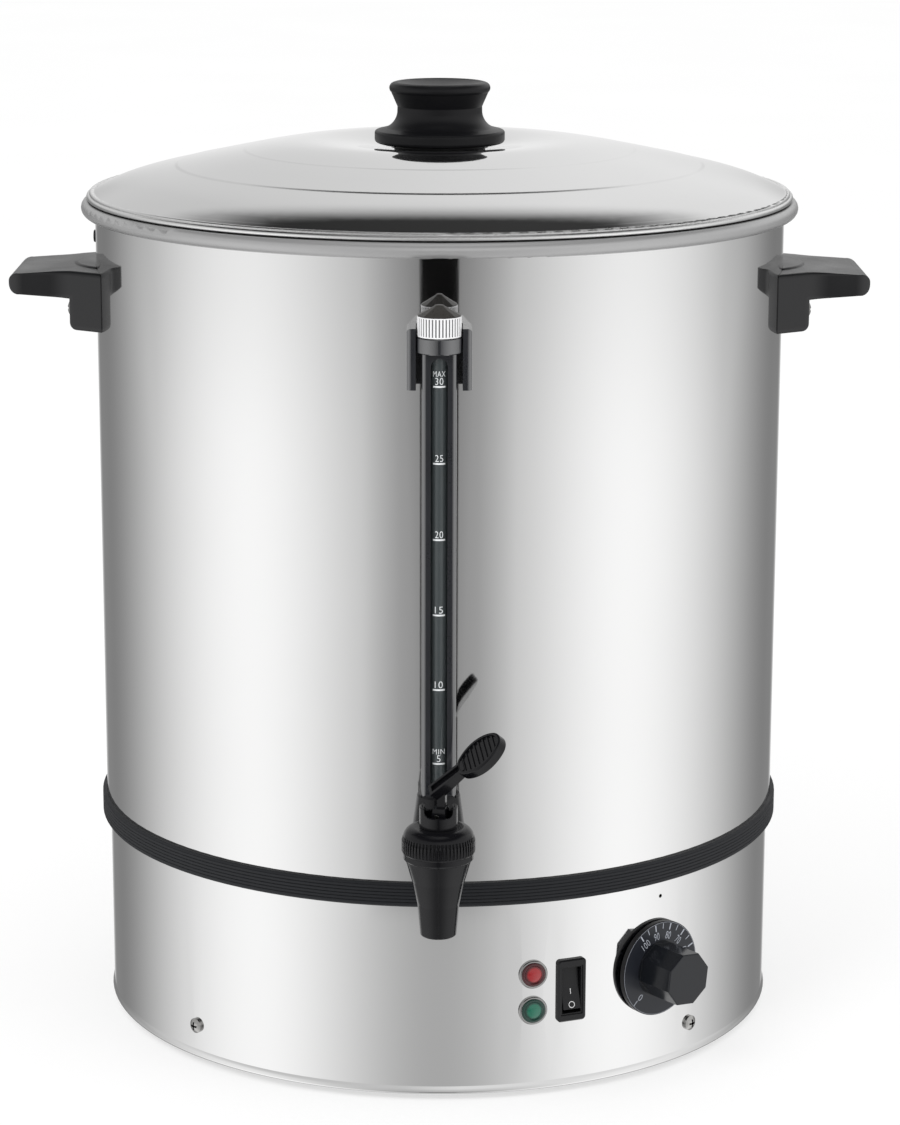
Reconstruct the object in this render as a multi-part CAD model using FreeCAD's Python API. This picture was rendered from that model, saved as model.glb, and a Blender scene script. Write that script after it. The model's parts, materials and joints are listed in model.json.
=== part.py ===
"""Thirty-litre electric catering water boiler with a tap and a sight gauge.

Millimetres.  +Z is up, the front (tap, gauge and controls) faces -Y, and the
origin is on the tank's axis at the floor.  One STEP file per node.
Pieces on the round wall are drawn in a local frame: +X points out of the
wall, +Y to the viewer's right, +Z up.  on_wall() puts them in place.
"""
import FreeCAD, Part
import os
from math import acos, cos, hypot, pi, radians, sin, sqrt, tan

# ---------------------------------------------------------------- driving sizes
SHEET = 0.8                    # stainless sheet
TANK_R = 198.0                 # outside of the tank wall
TANK_BOTTOM = 120.0
FLOOR_TOP = 133.2              # inside face of the tank floor
FLOOR_SHEET = 1.2
BEAD_Z = 472.3                 # centre of the curled rim
BEAD_R = 4.35

SKIRT_R = 196.0
SKIRT_BOTTOM = 4.0
SKIRT_TOP = 118.5
HEM = 0.9
BAND_R = 200.6
BAND_BOTTOM = 113.6
BAND_TOP = 126.9
PLATE_Z = 8.0                  # underside of the base plate
PLATE_SHEET = 1.0
FOOT_R = 12.0
FOOT_CIRCLE = 165.0
FOOT_AZIMUTHS = (45, 135, 225, 315)

LID_SEAT_Z = 505.0             # top of the sheet under the knob
LID_HOLE_R = 3.1
KNOB_TOP = 542.0

HANDLE_AZIMUTHS = (90, -90)
HANDLE_SCREW_Z = 411.0
HANDLE_BLOCK_X = 211.0         # outer face of the block under the grip
HANDLE_BOTTOM = 404.0
HANDLE_TOP = 438.0
HANDLE_NOSE_X = 246.4
HANDLE_PAD = (174.0, 37.5)     # raised round pad on top: centre and radius

PLUG_Z = 453.0                 # blanking plug under the rim, left side
PLUG_R = 2.6
BRACKET_SCREW_Z = 412.0

TAP_Y = -249.5                 # vertical axis of the tap
SHANK_Z = 155.0
SHANK_R = 10.0
TAP_TOP = 161.5                # shoulder under the knurled bonnet
SEAT_Z = 147.0
TURRET_Z = 175.6               # underside of the lever turret
PIN_Z = 181.5
LEVER_HEADING = -14.0          # degrees from +X, towards the front when negative
LEVER_RISE = 40.5              # degrees above level at rest
RUNNING = 0.05                 # radial clearance of a running fit
SPOUT_R = 7.2                  # bore
SPOUT_END = 115.8
CHAMBER_R = 11.5
NECK_R = 14.9
BONNET_R = 19.4
HUB_R = 6.0
STEM_R = 2.2
CUP_R = 10.1
CUP_WALL = 1.8
CUP_FLOOR = 1.8
HEEL_Z = TURRET_Z + CUP_FLOOR + 0.1
ARM_START = (-2.4, 192.8)      # along the lever, height
ARM_LENGTH = 49.2
ARM_ROLL = 36.0                # degrees the finger pad is turned to the front
PADDLE_FROM = 21.0
PADDLE_HALF = 10.0

GAUGE_Y = -217.0               # axis of the sight tube
GAUGE_BOTTOM = 181.7           # foot of the shield
COLLAR_BOTTOM = 421.7
CAP_BOTTOM = 430.0
CAP_TOP = 441.1
TIP_TOP = 446.7
TUBE_R = 5.0
TUBE_WALL = 1.2
GAUGE_SOCKET_TOP = 184.0

LAMP_AZIMUTH = 15.4
RED_LAMP_Z = 71.3
GREEN_LAMP_Z = 50.3
SWITCH_AZIMUTH = 21.9
SWITCH_Z = 59.9
SWITCH_HALF = (8.5, 18.0)      # half width and half height of the bezel
ROCKER_HALF = (5.3, 13.0)
ROCKER_AXIS_X = SKIRT_R - 5.0
ROCKER_SWING = 22.0
DIAL_AZIMUTH = 38.4
DIAL_Z = 63.1
DIAL_R = 27.2                  # back edge of the disc, drafted to its face
DIAL_FACE_R = 26.8
DIAL_BACK = SKIRT_R + 0.5
DIAL_FACE = SKIRT_R + 3.8
GRIP_FRONT = SKIRT_R + 27.3
GRIP_FLATS = 28.7
GRIP_TURN = 15.35              # degrees, first corner from local +Y
SHAFT_R = 3.0
INDEX_AZIMUTH = 39.2
INDEX_Z = 104.0
THERMOSTAT_SCREW_Y = 14.0
SKIRT_SCREW_Z = 22.6
SKIRT_SCREW_AZIMUTHS = (46.6, 135.0, 225.0, 315.8)
GLAND_AZIMUTH = 180.0
GLAND_Z = 42.0
GLAND_THREAD_R = 8.0

SPREADER_Z = FLOOR_TOP - FLOOR_SHEET
SPREADER_SHEET = 4.0
ELEMENT_RING = 75.0
ELEMENT_R = 4.0
BULB_R = 3.0
BULB_Y = 40.0
BULB_Z = SPREADER_Z - SPREADER_SHEET - BULB_R

UP = FreeCAD.Vector(0, 0, 1)
OUT = FreeCAD.Vector(1, 0, 0)
SIDE = FreeCAD.Vector(0, 1, 0)
ORIGIN = FreeCAD.Vector(0, 0, 0)


# ---------------------------------------------------------------- helpers
def vec(x, y, z):
    return FreeCAD.Vector(x, y, z)


def cylinder(radius, start, end):
    """A solid cylinder between two points."""
    first = vec(*start)
    along = vec(*end) - first
    return Part.makeCylinder(radius, along.Length, first, along)


def tube(outer, inner, start, end):
    """A straight pipe between two points."""
    return cylinder(outer, start, end).cut(cylinder(inner, start, end))


def box(low, high):
    size = vec(*high) - vec(*low)
    return Part.makeBox(size.x, size.y, size.z, vec(*low))


def turned(profile, axis=UP):
    """Revolve a closed outline of (radius, height) points about an axis.

    A corner given as ((r1, h1), (r2, h2)) is an arc through the first point
    to the second, and a list is a smooth curve through its points.  Heights
    run along the axis.
    """
    edges = []
    here = profile[0]
    for item in list(profile[1:]) + [profile[0]]:
        if isinstance(item, list):
            curve = Part.BSplineCurve()
            curve.interpolate([vec(r, 0, h) for r, h in [here] + item])
            edges.append(curve.toShape())
            here = item[-1]
        elif isinstance(item[0], tuple):
            middle, end = item
            points = [vec(r, 0, h) for r, h in (here, middle, end)]
            edges.append(Part.Arc(*points).toShape())
            here = end
        else:
            if hypot(item[0] - here[0], item[1] - here[1]) > 1e-6:
                edges.append(Part.makeLine(vec(here[0], 0, here[1]), vec(item[0], 0, item[1])))
            here = item
    solid = Part.Face(Part.Wire(edges)).revolve(ORIGIN, UP, 360)
    if axis == OUT:
        solid.rotate(ORIGIN, SIDE, 90)
    return solid


def crown(rim_r, rim_h, top_h):
    """An arc for turned() from the rim to the axis, as part of a sphere."""
    rise = top_h - rim_h
    ball = (rim_r ** 2 + rise ** 2) / (2 * abs(rise))
    middle_r = rim_r / 2
    drop = ball - sqrt(ball ** 2 - middle_r ** 2)
    return (middle_r, top_h - drop * rise / abs(rise)), (0, top_h)


def prism(points, direction):
    """Extrude a closed outline of points and arcs, given as vectors.

    An arc is a pair of vectors: a point on it, then its end.
    """
    edges = []
    here = points[0]
    for item in list(points[1:]) + [points[0]]:
        if isinstance(item, tuple):
            edges.append(Part.Arc(here, item[0], item[1]).toShape())
            here = item[1]
        else:
            if (item - here).Length > 1e-6:
                edges.append(Part.makeLine(here, item))
            here = item
    return Part.Face(Part.Wire(edges)).extrude(direction)


def polygon(radius, count, x, length, turn=0.0):
    """A regular prism along local +X, drawn from its corner radius."""
    step = 2 * pi / count
    corners = []
    for index in range(count):
        angle = radians(turn) + step * index
        corners.append(vec(x, radius * cos(angle), radius * sin(angle)))
    return prism(corners, vec(length, 0, 0))


def on_wall(shape, azimuth, z):
    """Place a piece drawn in the local wall frame.  Azimuth 0 is the front."""
    placed = shape.copy()
    placed.rotate(ORIGIN, UP, azimuth - 90)
    placed.translate(vec(0, 0, z))
    return placed


def group(shapes):
    return Part.makeCompound(shapes)


def wall_cylinder(radius):
    """A tall cylinder on the tank's axis, for trimming backs to the wall."""
    return cylinder(radius, (0, 0, -60), (0, 0, 600))


def fused(shapes):
    return shapes[0].multiFuse(shapes[1:]).removeSplitter()


# ---------------------------------------------------------------- tank and lid
def tank_shell():
    centre_r = TANK_R - SHEET + BEAD_R
    inner = BEAD_R - SHEET

    def on_curl(radius, degrees):
        angle = radians(degrees)
        return (centre_r + radius * cos(angle), BEAD_Z + radius * sin(angle))

    profile = [
        (TANK_R - SHEET, TANK_BOTTOM),
        (TANK_R - SHEET, BEAD_Z),
        (on_curl(BEAD_R, 90), on_curl(BEAD_R, 0)),
        (on_curl(BEAD_R, -60), on_curl(BEAD_R, -120)),
        on_curl(inner, -120),
        (on_curl(inner, -60), on_curl(inner, 0)),
        (on_curl(inner, 90), (TANK_R, BEAD_Z)),
        (TANK_R, TANK_BOTTOM),
    ]
    shell = turned(profile)
    through = (TANK_R - 6, 0, 0), (TANK_R + 6, 0, 0)
    holes = [on_wall(cylinder(SHANK_R + 0.2, *through), 0, SHANK_Z),
             on_wall(cylinder(2.2, *through), 0, BRACKET_SCREW_Z),
             on_wall(cylinder(PLUG_R, *through), -90, PLUG_Z)]
    for azimuth in HANDLE_AZIMUTHS:
        holes.append(on_wall(cylinder(3.2, *through), azimuth, HANDLE_SCREW_Z))
    return shell.cut(group(holes))


def tank_floor():
    edge = TANK_R - SHEET
    knee = 5.0
    low = FLOOR_TOP - 12
    bend = knee * (1 - cos(pi / 4))
    outer = [(0, FLOOR_TOP), (edge - knee, FLOOR_TOP),
             ((edge - bend, FLOOR_TOP - bend), (edge, FLOOR_TOP - knee)), (edge, low)]
    inside = knee - FLOOR_SHEET
    in_bend = FLOOR_SHEET + inside * (1 - cos(pi / 4))
    inner = [(edge - FLOOR_SHEET, low), (edge - FLOOR_SHEET, FLOOR_TOP - knee),
             ((edge - in_bend, FLOOR_TOP - in_bend), (edge - knee, FLOOR_TOP - FLOOR_SHEET)),
             (0, FLOOR_TOP - FLOOR_SHEET)]
    return turned(outer + inner)


def rim_plug():
    """Push-in blanking plug for the small hole under the rim."""
    inner = TANK_R - SHEET
    head = PLUG_R + 1.1
    plug = turned([(0, TANK_R + 2.0), (head - 0.9, TANK_R + 2.0),
                   ((head - 0.3, TANK_R + 1.7), (head, TANK_R + 1.0)),
                   (head, TANK_R - 1), (PLUG_R, TANK_R - 1), (PLUG_R, inner - 0.3), (PLUG_R + 0.6, inner - 0.9),
                   (PLUG_R + 0.1, inner - 4), (0, inner - 4)], OUT)
    neck = cylinder(PLUG_R, (inner - 1, 0, 0), (TANK_R + 0.1, 0, 0))
    plug = plug.cut(on_wall(wall_cylinder(TANK_R).cut(wall_cylinder(inner)), 0, -PLUG_Z))
    return on_wall(fused([plug, neck]), -90, PLUG_Z)


def lid_outline():
    """The lid's upper face as three smooth runs of (r, z) with a step between."""
    crest = [(28.0, LID_SEAT_Z), (34.0, 505.6), (46.0, 507.2), (60.0, 508.6), (72.0, 509.2),
             (85.0, 508.5), (100.0, 506.3), (111.5, 504.2)]
    ring = [(113.1, 503.75), (124.0, 501.6), (137.0, 498.8), (150.4, 495.95)]
    shoulder = [(152.2, 495.25), (165.0, 492.4), (178.0, 489.0), (188.0, 485.6),
                (195.0, 482.6), (198.6, 480.9)]
    return crest, ring, shoulder


def lid_shell():
    """Domed lid with two pressed steps, a hemmed edge and a locating ring."""
    top = []
    under = []
    for run in lid_outline():
        top += [run[0], run[1:]]
        under += [(r - 0.1, z - SHEET) for r, z in run]
    ring_out = 196.4
    ring_in = ring_out - SHEET
    hem_r = 1.5
    hem_c = (201.3, 478.35)
    edge = [((200.6, 481.1), (201.2, 480.3)), (200.4, 479.75),
            (hem_c[0], hem_c[1] + hem_r),
            ((hem_c[0] + hem_r, hem_c[1]), (hem_c[0], hem_c[1] - hem_r)),
            ((hem_c[0] - hem_r * 0.8, hem_c[1] - hem_r * 0.6), (hem_c[0] - hem_r, hem_c[1]))]
    inside = [(199.0, 479.0), (ring_out, 479.0), (ring_out, 467.5), (ring_in, 467.5),
              (ring_in, 481.2)]
    back = [point for point in reversed(under) if point[0] < ring_in - 0.5]
    seat = [(LID_HOLE_R, LID_SEAT_Z - SHEET)]
    return turned([(LID_HOLE_R, LID_SEAT_Z)] + top + edge + inside + back + seat)


def lid_knob():
    hub = 26.0
    profile = [
        (3.0, LID_SEAT_Z), (hub, LID_SEAT_Z), (hub, 507.3), (35.2, 507.3),
        ((36.7, 507.9), (37.4, 509.4)), (37.4, 512.6),
        ((37.0, 514.0), (35.7, 514.7)), (31.0, 515.9),
        ((26.3, 519.6), (24.4, 524.6)), (24.3, 528.0),
        (27.9, 536.2), ((28.8, 539.6), (26.2, KNOB_TOP - 0.3)), ((24.8, KNOB_TOP), (23.2, KNOB_TOP - 0.4)),
        crown(23.2, KNOB_TOP - 0.4, 538.7), (0, 531.0), (3.0, 529.0)]
    return turned(profile)


def lid_washer():
    under = LID_SEAT_Z - SHEET
    return tube(11.0, 3.1, (0, 0, under - 1.2), (0, 0, under))


def pan_screw(head_r, head_h, shank_r, length, recess=0.55):
    """Pan-head cross-recess screw along local X: head from 0 out, shank in."""
    head = turned([(0, 0), (head_r, 0), (head_r, head_h * 0.45),
                   crown(head_r, head_h * 0.45, head_h)], OUT)
    shank = cylinder(shank_r, (-length, 0, 0), (0.1, 0, 0))
    screw = fused([head, shank])
    wing = head_r * recess
    slot = head_r * 0.13
    depth = head_h * 0.45
    cross = fused([box((depth, -wing, -slot), (head_h + 1, wing, slot)),
                   box((depth, -slot, -wing), (head_h + 1, slot, wing))])
    return screw.cut(cross)


def lid_screw():
    screw = pan_screw(5.5, 3.2, 3.0, 25.0)
    screw.rotate(ORIGIN, SIDE, 90)
    screw.translate(vec(0, 0, LID_SEAT_Z - SHEET - 1.2))
    return screw


def seam_band():
    """Moulded band: the tank stands on its ledge, the skirt fits below it."""
    ribs = 6
    pitch = (BAND_TOP - BAND_BOTTOM - 2.0) / ribs
    face = [(BAND_R - 0.8, BAND_BOTTOM)]
    for index in range(ribs):
        low = BAND_BOTTOM + 1.0 + pitch * index
        face += [(BAND_R, low), (BAND_R, low + pitch * 0.72), (BAND_R - 0.35, low + pitch * 0.78),
                 (BAND_R - 0.35, low + pitch * 0.94)]
    face += [(BAND_R - 0.8, BAND_TOP), (TANK_R, BAND_TOP), (TANK_R, TANK_BOTTOM),
             (SKIRT_R - SHEET, TANK_BOTTOM), (SKIRT_R - SHEET, SKIRT_TOP), (SKIRT_R, SKIRT_TOP),
             (SKIRT_R, BAND_BOTTOM)]
    return turned(face)


# ---------------------------------------------------------------- base
def skirt_cutouts():
    """Holes through the skirt wall, each as a solid to take away."""
    through = (SKIRT_R - 6, 0, 0), (SKIRT_R + 6, 0, 0)
    holes = [on_wall(cylinder(6.0, *through), LAMP_AZIMUTH, RED_LAMP_Z),
             on_wall(cylinder(6.0, *through), LAMP_AZIMUTH, GREEN_LAMP_Z),
             on_wall(cylinder(5.2, *through), DIAL_AZIMUTH, DIAL_Z),
             on_wall(cylinder(1.1, *through), INDEX_AZIMUTH, INDEX_Z),
             on_wall(cylinder(GLAND_THREAD_R + 0.1, *through), GLAND_AZIMUTH, GLAND_Z),
             on_wall(box((SKIRT_R - 6, -6.7, -14.7), (SKIRT_R + 6, 6.7, 14.7)), SWITCH_AZIMUTH, SWITCH_Z)]
    for side in (-1, 1):
        at = SIDE * (side * THERMOSTAT_SCREW_Y)
        hole = cylinder(2.2, *through)
        hole.translate(at)
        holes.append(on_wall(hole, DIAL_AZIMUTH, DIAL_Z))
    for azimuth in SKIRT_SCREW_AZIMUTHS:
        holes.append(on_wall(cylinder(2.0, *through), azimuth, SKIRT_SCREW_Z))
    return group(holes)


def base_skirt():
    inner = SKIRT_R - SHEET
    shell = turned([(inner, SKIRT_BOTTOM), (SKIRT_R + HEM - 0.4, SKIRT_BOTTOM),
                    ((SKIRT_R + HEM, SKIRT_BOTTOM + 0.6), (SKIRT_R + HEM, SKIRT_BOTTOM + 1.4)),
                    ((SKIRT_R + HEM * 0.6, SKIRT_BOTTOM + 2.8), (SKIRT_R, SKIRT_BOTTOM + 4.2)),
                    (SKIRT_R, SKIRT_TOP), (inner, SKIRT_TOP)])
    return shell.cut(skirt_cutouts())


def base_plate():
    """Closing plate with an upturned flange and a ring of vent slots."""
    outer = SKIRT_R - SHEET
    top = PLATE_Z + PLATE_SHEET
    plate = turned([(0, PLATE_Z), (outer, PLATE_Z), (outer, PLATE_Z + 22),
                    (outer - PLATE_SHEET, PLATE_Z + 22), (outer - PLATE_SHEET, top), (0, top)])
    cuts = []
    for azimuth in SKIRT_SCREW_AZIMUTHS:
        cuts.append(on_wall(cylinder(1.75, (outer - 5, 0, 0), (outer + 5, 0, 0)), azimuth, SKIRT_SCREW_Z))
    for azimuth in FOOT_AZIMUTHS:
        cuts.append(on_wall(cylinder(2.0, (FOOT_CIRCLE, 0, 0), (FOOT_CIRCLE, 0, 20)), azimuth, 0))
    for index in range(24):
        slot = box((88, -2, 0), (112, 2, 20))
        ends = [cylinder(2, (x, 0, 0), (x, 0, 20)) for x in (88, 112)]
        cuts.append(on_wall(fused([slot] + ends), index * 15, 0))
    return plate.cut(group(cuts))


def skirt_screws():
    screws = []
    for azimuth in SKIRT_SCREW_AZIMUTHS:
        screw = pan_screw(4.3, 3.0, 1.75, 9.0)
        screw.translate(vec(SKIRT_R, 0, 0))
        screws.append(on_wall(screw, azimuth, SKIRT_SCREW_Z))
    return group(screws)


def rubber_feet():
    feet = []
    for azimuth in FOOT_AZIMUTHS:
        foot = turned([(2.1, PLATE_Z), (FOOT_R, PLATE_Z), (FOOT_R - 1.0, 1.2),
                       ((FOOT_R - 1.4, 0.35), (FOOT_R - 2.3, 0)), (6.5, 0), (6.0, 4.0), (2.1, 4.0)])
        foot.translate(vec(FOOT_CIRCLE, 0, 0))
        feet.append(on_wall(foot, azimuth, 0))
    return group(feet)


def foot_screws():
    screws = []
    for azimuth in FOOT_AZIMUTHS:
        screw = pan_screw(4.2, 2.6, 2.0, 8.0)
        screw.rotate(ORIGIN, SIDE, 90)
        screw.translate(vec(FOOT_CIRCLE, 0, 4.0))
        screws.append(on_wall(screw, azimuth, 0))
    return group(screws)


# ---------------------------------------------------------------- handles
def handle_side():
    """The grip seen from the front: block below, sloped slab with a round nose."""
    face = HANDLE_BLOCK_X
    nose = HANDLE_NOSE_X
    y = -60
    outline = [vec(180, y, HANDLE_BOTTOM), vec(face - 5, y, HANDLE_BOTTOM),
               (vec(face - 1.5, y, HANDLE_BOTTOM + 1.5), vec(face, y, HANDLE_BOTTOM + 5)),
               vec(face, y, 420.5), (vec(face + 0.45, y, 421.55), vec(face + 1.5, y, 422.0)),
               vec(nose - 7, y, 424.0), (vec(nose, y, 430.0), vec(nose - 7, y, 436.0)),
               vec(209, y, HANDLE_TOP), vec(180, y, HANDLE_TOP)]
    return prism(outline, vec(0, 120, 0))


def rounded_slab(plan, low, high, corners, rim, rim_zs):
    """Extrude a plan upwards, round its listed upright corners, then its rims."""
    slab = prism([vec(x, y, low) for x, y in plan], vec(0, 0, high - low))
    for (x, y), radius in corners.items():
        upright = [edge for edge in slab.Edges
                   if abs(edge.BoundBox.XMin - x) < 0.01 and abs(abs(edge.BoundBox.YMin) - y) < 0.01
                   and edge.BoundBox.XLength < 0.01 and edge.BoundBox.YLength < 0.01]
        slab = slab.makeFillet(radius, upright)
    rims = [edge for edge in slab.Edges
            if edge.BoundBox.XMax > 181 and edge.BoundBox.ZLength < 0.01
            and min(abs(edge.BoundBox.ZMin - z) for z in rim_zs) < 0.01]
    return slab.makeFillet(rim, rims)


def handle_body():
    """Slab and block with one flat front face, trimmed to the side outline."""
    nose = HANDLE_NOSE_X + 0.1
    face = HANDLE_BLOCK_X
    back = 58.5
    shoulder = (216, 36)
    slope = (back - shoulder[1]) / (shoulder[0] - 180)
    half = back - (face - 180) * slope
    low = 421.8
    slab_plan = [(180, -back), (shoulder[0], -shoulder[1]), (nose, -35), (nose, 35), shoulder, (180, back)]
    slab = rounded_slab(slab_plan, low, HANDLE_TOP, {shoulder: 20.0, (nose, 35): 9.0}, 2.6, (low, HANDLE_TOP))
    block_plan = [(180, -back), (face, -half), (face, half), (180, back)]
    block = rounded_slab(block_plan, HANDLE_BOTTOM, 430.0, {(face, half): 6.0}, 3.0, (HANDLE_BOTTOM,))
    return fused([slab, block]).common(handle_side())


def handle_grip(azimuth):
    """Moulded side handle: a flat grip over a block that is screwed to the wall."""
    centre, radius = HANDLE_PAD
    pad = turned([(0, 430), (radius, 430), (radius, HANDLE_TOP - 0.6),
                  ((radius - 0.9, HANDLE_TOP + 0.5), (radius - 2.9, HANDLE_TOP + 0.9)),
                  (0, HANDLE_TOP + 1.6)])
    pad.translate(vec(centre, 0, 0))
    body = fused([handle_body(), pad]).cut(wall_cylinder(TANK_R))
    hole = cylinder(3.2, (180, 0, HANDLE_SCREW_Z), (230, 0, HANDLE_SCREW_Z))
    return on_wall(body.cut(hole), azimuth, 0)


def handle_screws():
    screws = []
    for azimuth in HANDLE_AZIMUTHS:
        screw = pan_screw(5.8, 5.0, 3.0, 20.0)
        screw.translate(vec(HANDLE_BLOCK_X, 0, 0))
        screws.append(on_wall(screw, azimuth, HANDLE_SCREW_Z))
    return group(screws)


def cap_nut(radius, bore, x_seat, height, depth):
    """Domed nut inside the tank: its seat faces outwards, at local x_seat."""
    hexagon = polygon(radius, 6, x_seat - height * 0.6, height * 0.6)
    dome_r = radius * 0.84
    dome = turned([(0, -height * 0.5), (dome_r, -height * 0.5), (dome_r, -height * 0.6),
                   crown(dome_r, -height * 0.6, -height)], OUT)
    dome.translate(vec(x_seat, 0, 0))
    nut = fused([hexagon, dome])
    return nut.cut(cylinder(bore, (x_seat - depth, 0, 0), (x_seat + 1, 0, 0)))


def wall_seal(outer, bore, thickness):
    """Flat silicone ring that follows the inside of the tank wall."""
    inner_wall = TANK_R - SHEET
    ring = tube(outer, bore, (inner_wall - thickness, 0, 0), (inner_wall + 2, 0, 0))
    return ring.common(wall_cylinder(inner_wall))


def wall_seals():
    """Sealing rings of the two handle screws and the gauge bracket screw."""
    seals = []
    for azimuth in HANDLE_AZIMUTHS:
        ring = wall_seal_at(8.0, 3.0, 1.6, HANDLE_SCREW_Z)
        seals.append(on_wall(ring, azimuth, 0))
    seals.append(on_wall(wall_seal_at(6.0, 2.0, 1.6, BRACKET_SCREW_Z), 0, 0))
    return group(seals)


def wall_seal_at(outer, bore, thickness, z):
    ring = wall_seal(outer, bore, thickness)
    ring.translate(vec(0, 0, z))
    return ring


def handle_nuts():
    seat = TANK_R - SHEET - 1.6
    nut = cap_nut(6.4, 3.0, seat, 10.0, 7.0)
    return group([on_wall(nut, azimuth, HANDLE_SCREW_Z) for azimuth in HANDLE_AZIMUTHS])


# ---------------------------------------------------------------- heating, electrics
def heat_spreader():
    return cylinder(95.0, (0, 0, SPREADER_Z - SPREADER_SHEET), (0, 0, SPREADER_Z))


def heating_element():
    """Sheathed ring under the spreader, with its two cold ends turned down."""
    z = SPREADER_Z - SPREADER_SHEET - ELEMENT_R
    ring = Part.makeTorus(ELEMENT_RING, ELEMENT_R, vec(0, 0, z), UP, -180, 180, 330)
    parts = [ring]
    for angle in (0, 330):
        x = ELEMENT_RING * cos(radians(angle))
        y = ELEMENT_RING * sin(radians(angle))
        parts.append(Part.makeSphere(ELEMENT_R, vec(x, y, z)))
        parts.append(cylinder(ELEMENT_R, (x, y, z - 14), (x, y, z)))
        parts.append(cylinder(1.6, (x, y, z - 26), (x, y, z - 13)))
    return parts[0].multiFuse(parts[1:])


def thermal_cutout():
    top = SPREADER_Z - SPREADER_SHEET
    body = turned([(0, top), (8.0, top), (8.0, top - 7), (6.8, top - 9), (0, top - 9)])
    body.translate(vec(-30, 10, 0))
    blades = [box((x - 0.4, 7, top - 18), (x + 0.4, 13, top - 8.9)) for x in (-33.5, -26.5)]
    return fused([body] + blades)


def thermostat_body():
    """Capillary thermostat behind the dial; its face is trimmed to the skirt."""
    wall = SKIRT_R - SHEET
    body = box((wall - 26, -18, -18), (wall + 2, 18, 18))
    body = body.common(wall_cylinder(wall))
    cuts = [cylinder(SHAFT_R + RUNNING, (wall - 14, 0, 0), (wall + 5, 0, 0))]
    for side in (-1, 1):
        y = side * THERMOSTAT_SCREW_Y
        cuts.append(cylinder(2.0, (wall - 10, y, 0), (wall + 5, y, 0)))
    blades = [box((wall - 34, y - 3, z - 0.4), (wall - 25.9, y + 3, z + 0.4))
              for y in (-9, 9) for z in (-8, 8)]
    return on_wall(fused([body] + blades).cut(group(cuts)), DIAL_AZIMUTH, DIAL_Z)


def thermostat_screws():
    screws = []
    for side in (-1, 1):
        screw = pan_screw(3.4, 2.0, 2.0, 9.0)
        screw.translate(vec(SKIRT_R, side * THERMOSTAT_SCREW_Y, 0))
        screws.append(on_wall(screw, DIAL_AZIMUTH, DIAL_Z))
    return group(screws)


def thermostat_bulb():
    return cylinder(BULB_R, (-40, BULB_Y, BULB_Z), (25, BULB_Y, BULB_Z))


def rounded_path(points, radius):
    """Straight runs joined by tangent arcs of one radius."""
    edges = []
    here = points[0]
    for index in range(1, len(points) - 1):
        corner = points[index]
        back = (points[index - 1] - corner).normalize()
        ahead = (points[index + 1] - corner).normalize()
        half = acos(max(-1.0, min(1.0, back.dot(ahead)))) / 2
        reach = radius / tan(half)
        bisector = (back + ahead).normalize()
        middle = corner + bisector * (radius / sin(half) - radius)
        start = corner + back * reach
        end = corner + ahead * reach
        edges.append(Part.makeLine(here, start))
        edges.append(Part.Arc(start, middle, end).toShape())
        here = end
    edges.append(Part.makeLine(here, points[-1]))
    return Part.Wire(edges)


def capillary_tube():
    """Thin copper tube from the bulb to the thermostat."""
    depth = SKIRT_R - SHEET - 26.0
    azimuth = radians(DIAL_AZIMUTH)
    shift = 14.0
    end = vec(depth * sin(azimuth) + shift * cos(azimuth), -depth * cos(azimuth) + shift * sin(azimuth), DIAL_Z)
    inward = vec(-sin(azimuth), cos(azimuth), 0)
    points = [vec(25, BULB_Y, BULB_Z), vec(46, BULB_Y, BULB_Z), vec(60, 34, 104), vec(112, 0, 100),
              end + inward * 34, end]
    path = rounded_path(points, 9.0)
    ring = Part.Wire(Part.makeCircle(0.8, points[0], OUT))
    return path.makePipeShell([ring], True, True)


def terminal_block():
    floor = PLATE_Z + PLATE_SHEET
    block = box((-24, 118, floor), (24, 136, floor + 14))
    cuts = []
    for index in range(3):
        x = -16 + 16 * index
        cuts.append(box((x - 5, 117, floor + 5), (x + 5, 137, floor + 11)))
        cuts.append(cylinder(2.6, (x, 127, floor + 10), (x, 127, floor + 15)))
    return block.cut(group(cuts))


def cable_gland():
    """Gland body through the skirt at the back, with a hexagon outside."""
    body = fused([cylinder(GLAND_THREAD_R, (SKIRT_R - 14, 0, 0), (SKIRT_R + 11, 0, 0)),
                  polygon(12.7, 6, SKIRT_R - 2, 7)])
    flange = body.cut(wall_cylinder(SKIRT_R))
    thread = cylinder(GLAND_THREAD_R, (SKIRT_R - 14, 0, 0), (SKIRT_R + 1, 0, 0))
    body = fused([flange, thread])
    return on_wall(body.cut(cylinder(6.2, (SKIRT_R - 20, 0, 0), (SKIRT_R + 20, 0, 0))), GLAND_AZIMUTH, GLAND_Z)


def gland_nut():
    start = SKIRT_R + 5
    nut = turned([(GLAND_THREAD_R, start), (11.0, start), (11.0, start + 8),
                  ((9.6, start + 13), (6.6, start + 15)), (6.2, start + 15), (6.2, start + 6),
                  (GLAND_THREAD_R, start + 6)], OUT)
    flutes = []
    for index in range(12):
        angle = 2 * pi * index / 12
        y = 11.6 * cos(angle)
        z = 11.6 * sin(angle)
        flutes.append(cylinder(1.2, (start + 1.5, y, z), (start + 9, y, z)))
    return on_wall(nut.cut(group(flutes)), GLAND_AZIMUTH, GLAND_Z)


def gland_seal():
    return on_wall(tube(6.2, 4.25, (SKIRT_R + 3, 0, 0), (SKIRT_R + 19, 0, 0)), GLAND_AZIMUTH, GLAND_Z)


def gland_locknut():
    wall = SKIRT_R - SHEET
    nut = polygon(12.7, 6, wall - 5, 6)
    nut = nut.common(wall_cylinder(wall))
    return on_wall(nut.cut(cylinder(GLAND_THREAD_R, (0, 0, 0), (wall + 5, 0, 0))), GLAND_AZIMUTH, GLAND_Z)


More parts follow.
